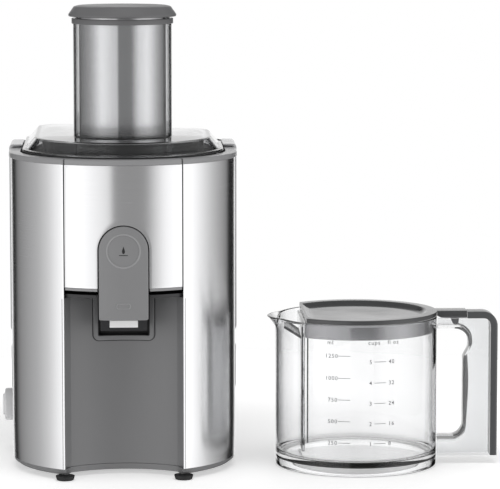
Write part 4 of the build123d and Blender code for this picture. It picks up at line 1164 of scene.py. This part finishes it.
def jug_handle():
    """Clear handle channel. Its section is a U, open to the outside: two cheeks and
    the inner wall, carried along rays that turn from the upper to the lower root.
    A tapered grey band, painted shade for the finger hole's rounded wall,
    lies on the side that faces the fingers. Returns the two."""
    top, low, out, half = 127.2, 6.8, trim_high[0] - JUG[0] - 6.2, 9.0
    centre = np.array([70.2, 71.0])
    outer = box_outline(40, out, low, top, [0, 1.2, 7.5, 0], 10)
    gap = rounded([(40, 24.3), (92.8, 24.3), (92.8, 93.0), (97.3, 101.5), (97.3, 118.0), (40, 118.0)],
                  [0, 11.0, 7.0, 5.0, 12.0, 0], 12)
    angle = np.linspace(pi / 2, -pi / 2, 190)
    ray = np.c_[np.cos(angle), np.sin(angle)]
    near, far = ray_radius(gap, centre, angle), ray_radius(outer, centre, angle)
    w = 2.4 / (far - near)
    one = np.ones_like(w)
    t = np.linspace(0, pi / 2, 5)
    section = []
    for side in (-1, 1):
        rim = [(one, side * half), (one, side * (half - 2.0))]
        pocket = [(w * 2.2, side * (half - 2.2)), (w * 1.4, side * (half - 3.0)), (w, side * (half - 4.8))]
        cheek = [(w * 1.6 * (1 - sin(a)), side * (half - 2.4 * (1 - cos(a)))) for a in t[::-1]]
        section.append((rim, pocket, cheek))
    left, right = section
    order = list(left[2]) + left[0] + left[1] + right[1][::-1] + right[0][::-1] + list(right[2])[::-1]
    share = np.stack([np.broadcast_to(s, w.shape) for s, _ in order], 1)
    y = np.array([v for _, v in order])
    reach = near[:, None] + (far - near)[:, None] * share
    x = centre[0] + ray[:, :1] * reach
    z = centre[1] + ray[:, 1:] * reach
    x = np.maximum(x, np.sqrt((JUG_R + 0.06) ** 2 - y[None] ** 2))
    grid = np.stack([JUG[0] + x, JUG[1] + np.broadcast_to(y, x.shape), z], -1)
    # Painted shade: the grey band below stands for the shading of the finger hole's rounded wall.
    clear_of_roots = slice(18, -18)
    taper = np.clip(np.cos(angle[clear_of_roots] * 1.12) * 2.2, 0.06, 1) ** 0.7
    band = box_outline(0.5, 3.5, -5.6, 5.6, 0.8, 4)
    depth = near[clear_of_roots, None] + 0.5 + (band[None, :, 0] - 0.5) * taper[:, None]
    spot = centre + ray[clear_of_roots, None] * depth[..., None]
    wide = JUG[1] + np.broadcast_to(band[None, :, 1], depth.shape)
    shade_lining = np.stack([JUG[0] + spot[..., 0], wide, spot[..., 1]], -1)
    return shell(grid, caps=BOTH), shell(shade_lining, caps=BOTH)


def jug_body():
    """The jug's wall, its handle with the grey band of painted shade, and the ring under its floor."""
    piece("jug_glass", [jug_wall()], "jug", "clear_plastic", ["jug_body"], crease=45)
    grip, shade_lining = jug_handle()
    piece("jug_grip", [grip], "jug", "handle_clear", crease=45)
    # Painted shade: rim_grey_plastic here stands for the shading of the finger hole's wall.
    piece("grip_shade_lining", [shade_lining], "jug", "rim_grey_plastic", crease=45)
    ring = box_outline(60.5, 65.2, 7.2, 8.44, 0.4, 4)
    piece("jug_base_ring", [turned_ring(ring, JUG, 200)], "jug", "black_rubber")


def handle_trim():
    """Dark strip over the handle: rounded section carried along its centre line,
    from the lid's tail over the corner and down the back."""
    top, out, low = trim_high[2], trim_high[0] - JUG[0], trim_low[2]
    first, inner = trim_low[0] - JUG[0], out - 6.1
    outer = rounded([(first, top), (out, top), (out, low)], [0, 12.5, 0], 14)
    inside = rounded([(first, top - 5.7), (inner, top - 5.7), (inner, low)], [0, 6.4, 0], 14)
    outer, inside = finer_pair(outer, inside, 4.0)
    half = (trim_high[1] - trim_low[1]) / 2
    wide = box_outline(0, 6.0, -half, half, [0.4, 1.8, 1.8, 0.4], 5)
    flat = between(inside, outer, wide[None, :, 0] / 6.0)
    y = np.broadcast_to(JUG[1] + wide[None, :, 1], flat.shape[:2])
    grid = np.stack([JUG[0] + flat[..., 0], y, flat[..., 1]], -1)
    piece("handle_strip", [shell(grid, caps=BOTH)], "jug", "jug_trim_plastic", ["handle_trim"],
          crease=40, bevel=0.35)


def cut_circle(r, chord, z, arc=150, line=36):
    """Ring of a disc cut by a chord on the pouring side, at x = chord: the arc from
    the chord's one end round to the other, then back along the chord."""
    half = np.arccos(chord / r)
    a = np.linspace(-half, half, arc, endpoint=False)
    y = r * np.sin(half)
    edge = np.c_[np.full(line, chord), np.linspace(y, -y, line, endpoint=False)]
    loop = np.r_[np.c_[r * np.cos(a), r * np.sin(a)], edge] + JUG
    return level(loop, z)


def jug_lid():
    """Jug lid: rings carried from the middle of the sunk top, over the flange, down
    the outer skirt and back under; then the tail over the handle and its hook."""
    chord = -46.0
    h, low = jug_lid_high[2], jug_lid_low[2]
    skirt = JUG_R - JUG_WALL - 0.5
    rings = [cut_circle(r, x, z) for r, x, z in (
        (4, -2.0, 129.4), (57, chord + 8, 129.4), (60, chord + 2.6, 133.2), (61, chord + 1.6, h),
        (JUG_R + 0.2, chord, h), (JUG_R + 0.2, chord, 130.4), (skirt, chord, 130.4), (skirt, chord, low),
        (skirt - 2.6, chord + 2.4, low), (skirt - 2.6, chord + 2.4, 126.8), (4, -2.0, 126.8))]
    radii = [0, 3.0, 1.2, 0.8, 1.0, 0.8, 0.4, 0.6, 0.6, 1.0, 0]
    disc = shell(ring_chain(rings, radii, closed=False), caps=BOTH)
    half = (trim_high[1] - trim_low[1]) / 2
    x0, x1 = JUG_R - 1.0, jug_lid_high[0] - JUG[0]
    section = box_outline(-half, half, 130.2, h - 0.1, [0.3, 0.3, 1.2, 1.2], 5)
    x = np.linspace(x0, x1, 8)[:, None]
    drop = np.clip((x - x0 - 2) / 2, 0, 1) * 2.4 * (section[None, :, 1] < 131.5)
    across_y, z = section[None, :, 0], section[None, :, 1]
    tail = np.stack([JUG[0] + x + 0 * drop, JUG[1] + across_y + 0 * drop, z - drop], -1)
    hook = rounded([(82.0, 128.5), (84.1, 121.5), (87.9, 121.5), (89.0, 128.5)], [0, 1.0, 1.0, 0], 5)
    peg = across(hook + [JUG[0], 0], JUG[1] + np.array([-3.5, -3.1, 3.1, 3.5]), (-0.4, 0, 0, -0.4))
    piece("jug_lid_moulding", [disc, shell(tail, caps=BOTH), shell(peg, caps=BOTH)], "jug_top",
          "jug_lid_plastic", ["jug_lid"], crease=40)


SOFT = np.array([0.3, 0, 0, 0.3])        # inset of a bar's end, side, side and end


def foam_separator():
    """Hanging clear plate with rounded lower corners, its dark sloping guard and
    the clip that holds it under the lid."""
    left = JUG[0] - 46.0 - 2.6
    half, low, high = 45.0, plate_low[2], plate_high[2]
    loop = box_outline(JUG[1] - half, JUG[1] + half, low, high, [9, 9, 1, 1], 10)
    rows = [np.c_[np.full(len(loop), x), loop + inward(loop) * inset]
            for inset, x in soft_box_levels(0.6, left, left + 2.5)]
    piece("separator_plate", [shell(np.stack(rows), caps=BOTH)], "jug_top", "separator_clear",
          ["foam_separator"], crease=40)
    y = JUG[1] - half + np.array([-0.3, 0, 1.6, 1.9])
    ribs = [shell(across(box_outline(x, x + 1.2, low + 9, high - 2, 0.4, 3), y, SOFT), caps=BOTH)
            for x in (left - 0.5, left + 4.0)]
    piece("separator_ribs", ribs, "jug_top", "smoke_plastic", crease=40)
    guard = rounded([(left + 0.6, 112.4), (left + 0.6, 114.4), (left - 13.5, 123.6), (left - 13.5, 121.8)],
                    0.5, 4)
    slope = across(guard, JUG[1] + np.array([-23, -22.6, 22.6, 23]), -SOFT)
    clip = box_outline(left + 2.4, left + 22, 112.5, 116.4, 0.8, 4)
    bar = across(clip, JUG[1] + np.array([-12, -11.6, 11.6, 12]), SOFT)
    piece("separator_guard", [shell(slope, caps=BOTH), shell(bar, caps=BOTH)], "jug_top",
          "smoke_plastic", crease=40)


def jug_scale():
    """Measuring marks printed on the jug's front: numbers made into meshes, then
    wrapped onto the wall, x along the arc and y up."""
    rows = [(-32.0, "1250", 104.0), (-32.0, "1000", 85.0), (-29.5, "750", 66.5), (-29.5, "500", 48.0),
            (-29.5, "250", 29.5)]
    cups = ((5, 99.0), (4, 81.0), (3, 63.5), (2, 46.0), (1, 29.0))
    for x, unit in ((23.0, 8), (6.0, 1)):
        rows += [(x, str(unit * count), z) for count, z in cups]
    rows += [(-30.0, "ml", 115.5), (5.0, "cups", 115.5), (22.0, "fl oz", 115.5)]
    marks = []
    for x, text, z in rows:
        curve = bpy.data.curves.new("mark", "FONT")
        curve.body = text
        curve.size = 4.9
        curve.space_character = 1.2
        curve.offset = 0.03
        curve.resolution_u = 3
        curve.extrude = 0.04
        made = placed("mark", curve)
        bpy.context.view_layer.update()
        mesh = bpy.data.meshes.new_from_object(made.evaluated_get(bpy.context.evaluated_depsgraph_get()))
        co = np.zeros(len(mesh.vertices) * 3)
        mesh.vertices.foreach_get("co", co)
        marks.append((co.reshape(-1, 3) + [x, z - 1.7, 0], [list(p.vertices) for p in mesh.polygons]))
        bpy.data.objects.remove(made)
        bpy.data.meshes.remove(mesh)
    section = ((-0.22, -0.04), (0.22, -0.04), (0.22, 0.04), (-0.22, 0.04))
    for _, text, z in rows[:10]:
        a, b = (-20.5, -10.0) if len(text) > 2 else (10.5, 20.5)
        x = np.linspace(a, b, 9)
        marks.append(shell(np.stack([np.c_[x, x * 0 + z + v, x * 0 + w] for v, w in section], 1), caps=BOTH))
    wrapped = []
    for flat, faces in marks:
        a, r = flat[:, 0] / JUG_R, JUG_R + 0.08 + flat[:, 2]
        wrapped.append((np.c_[JUG[0] + r * np.sin(a), JUG[1] - r * np.cos(a), flat[:, 1]], faces))
    piece("jug_scale_marks", wrapped, "jug", "print_grey", closed=False)


# ---- plain nodes: finishes ----
def finish_nodes():
    """Every carried-over node takes the finish of its record slot."""
    for row in frame["record"]["subparts"]:
        node = nodes[row["node"]]
        finish = FINISH[row["material_slot"]]
        node.data.materials.clear()
        node.data.materials.append(finish)


# ---- stage: floor, sky and lamps ----
def make_floor():
    """Pale round floor, a little wider than the two objects."""
    profile = [(0.0, 0.0), (0.3, 0.0), (0.62, 0.0), (0.66, -0.01)]
    points, faces = shell(turned(profile, (0.10, 0.02), 96))
    mesh = bpy.data.meshes.new("floor")
    mesh.from_pydata(points.tolist(), [], [[int(k) for k in f] for f in faces])
    build = bmesh.new()
    build.from_mesh(mesh)
    bmesh.ops.remove_doubles(build, verts=build.verts, dist=1e-6)
    build.to_mesh(mesh)
    build.free()
    if mesh.polygons[0].normal.z < 0:
        mesh.flip_normals()
    floor = placed("floor", mesh)
    material, tree, shader, vector = shader_of("studio_floor")
    group = placed_group(tree, GRAIN, vector, Grain=40.0)
    tint(tree, group.outputs["Tone"], shader.inputs["Base Color"], (0.93, 0.93, 0.93), 0.005)
    # Painted light: the floor glows, at three quarters near the objects and in full farther out, softening
    # contact shadows and fading into the white backdrop.
    plain(shader, Roughness=0.6, Specular_IOR_Level=0.2, Emission_Strength=0.56)
    reach = add(tree, "VectorMath", {0: vector}, operation="LENGTH")
    far = step_of(tree, reach.outputs["Value"], 0.22, 0.50)
    tree.links.new(colour_mix(tree, far, (0.75, 0.75, 0.75), (1.0, 1.0, 1.0)), shader.inputs["Emission Color"])
    mesh.materials.append(material)
    floor.visible_glossy = False


def make_sky():
    """Studio round the object, as light by compass direction: soft boxes left and
    right of the camera with a dim gap between them, dark flats at the sides, and
    the white ground behind. Overhead it is dim; the wide soft box there is the
    lamp top_box. The camera itself sees white."""
    world = bpy.data.worlds.new("studio")
    bpy.context.scene.world = world
    world.use_nodes = True
    tree = world.node_tree
    tree.nodes.clear()
    split = add(tree, "SeparateXYZ", {0: add(tree, "TexCoord", {}).outputs["Generated"]})
    front = math_node(tree, "MULTIPLY", split.outputs["Y"], -1.0)
    turn = math_node(tree, "ARCTAN2", split.outputs["X"], front)
    share = math_node(tree, "ADD", math_node(tree, "DIVIDE", turn, 2 * pi), 0.5)
    ramp = add(tree, "ValToRGB", {"Fac": share})
    stops = [                            # degrees from the camera's side, brightness
        (-163, 0.71), (-158, 0.01), (-146, 0.01), (-141, 0.12), (-134, 0.185), (-116, 0.265), (-98, 0.35),
        (-83, 0.51), (-66, 0.83), (-55, 1.0), (-40, 0.87), (-24, 0.72), (-13, 0.63), (-10.5, 0.22), (19, 0.22),
        (24, 0.26), (28, 0.38), (32, 0.50), (37, 0.63), (43, 0.79), (52, 0.87), (67, 1.0), (80, 0.80),
        (92, 0.60), (104, 0.42), (120, 0.27), (132, 0.18), (138, 0.01), (158, 0.01), (163, 0.71)]
    ramp.color_ramp.elements[0].position = 0.0
    ramp.color_ramp.elements[-1].position = 1.0
    for angle, value in stops:
        stop = ramp.color_ramp.elements.new(angle / 360 + 0.5)
        stop.color = (value, value, value, 1)
    for end in (0, -1):
        ramp.color_ramp.elements[end].color = (0.71, 0.71, 0.71, 1)
    above = step_of(tree, split.outputs["Z"], 0.30, 0.55)
    light = colour_mix(tree, above, ramp.outputs["Color"], (0.22, 0.22, 0.22))
    studio = add(tree, "Background", {"Color": light, "Strength": 1.5})
    ground = add(tree, "Background", {"Color": (1, 1, 1, 1)})
    seen = add(tree, "LightPath", {}).outputs["Is Camera Ray"]
    choose = add(tree, "MixShader", {"Fac": seen, 1: studio.outputs[0], 2: ground.outputs[0]})
    add(tree, "OutputWorld", {"Surface": choose.outputs[0]})


def make_lamp(name, place, target, size, power):
    """Soft area lamp at a place, turned to a target."""
    light = bpy.data.lights.new(name, "AREA")
    light.shape = "RECTANGLE"
    light.size, light.size_y = size
    light.energy = power
    lamp = placed(name, light)
    lamp.location = place
    aim = np.array(target) - np.array(place)
    flat = hypot(aim[0], aim[1])
    lamp.rotation_euler = (pi / 2 - atan2(-aim[2], flat), 0.0, atan2(-aim[0], aim[1]))
    lamp.visible_glossy = False
    lamp.visible_transmission = False


bpy.context.scene.view_settings.view_transform = "Standard"
for make in (finish_nodes, steel_wraps, front_panel, seam_shadow_strips, panel_lip, spout_rocker, rocker_marks,
             front_rim, side_rim, lid_cover, chute_band, pusher, plunger, clamps, speed_knob, recess_wall,
             recess_frame, feet, sieve, jug_body, handle_trim, jug_lid, foam_separator, jug_scale):
    make()
for node, finish, slot, width in (
    ("base_plate", "mid_grey_plastic", None, 0.5),
    ("side_panel_left", "mid_grey_plastic", None, 0.6),
    ("side_panel_right", "mid_grey_plastic", None, 0.6),
    ("pulp_container", "container_plastic", "smoke_plastic", 0.5),
    # front_backing takes dark_plastic in place of its mid-grey slot: painted shade in the gaps of the front
    # skins.
    ("front_backing", "dark_plastic", "mid_grey_plastic", 0.2),
    ("collector_bowl", "smoke_plastic", None, 0.3),
    ("basket_ring", "dark_plastic", None, 0.3),
    ("cord_gland", "dark_plastic", None, 0.3),
    ("rocker_arm", "dark_plastic", None, 0.3),
    ("valve_pad", "white_silicone", None, 0.4),
):
    softened(node, finish, width)
# The steel doesn't mirror these pieces of the jug.
for name in ("jug_lid_moulding", "handle_strip", "grip_shade_lining", "separator_ribs", "separator_guard", "jug_grip"):
    bpy.data.objects[name].visible_glossy = False
make_floor()
make_sky()
make_lamp("top_box", (0.1, -0.5, 1.6), (0.05, 0.0, 0.1), (1.2, 0.9), 9.0)
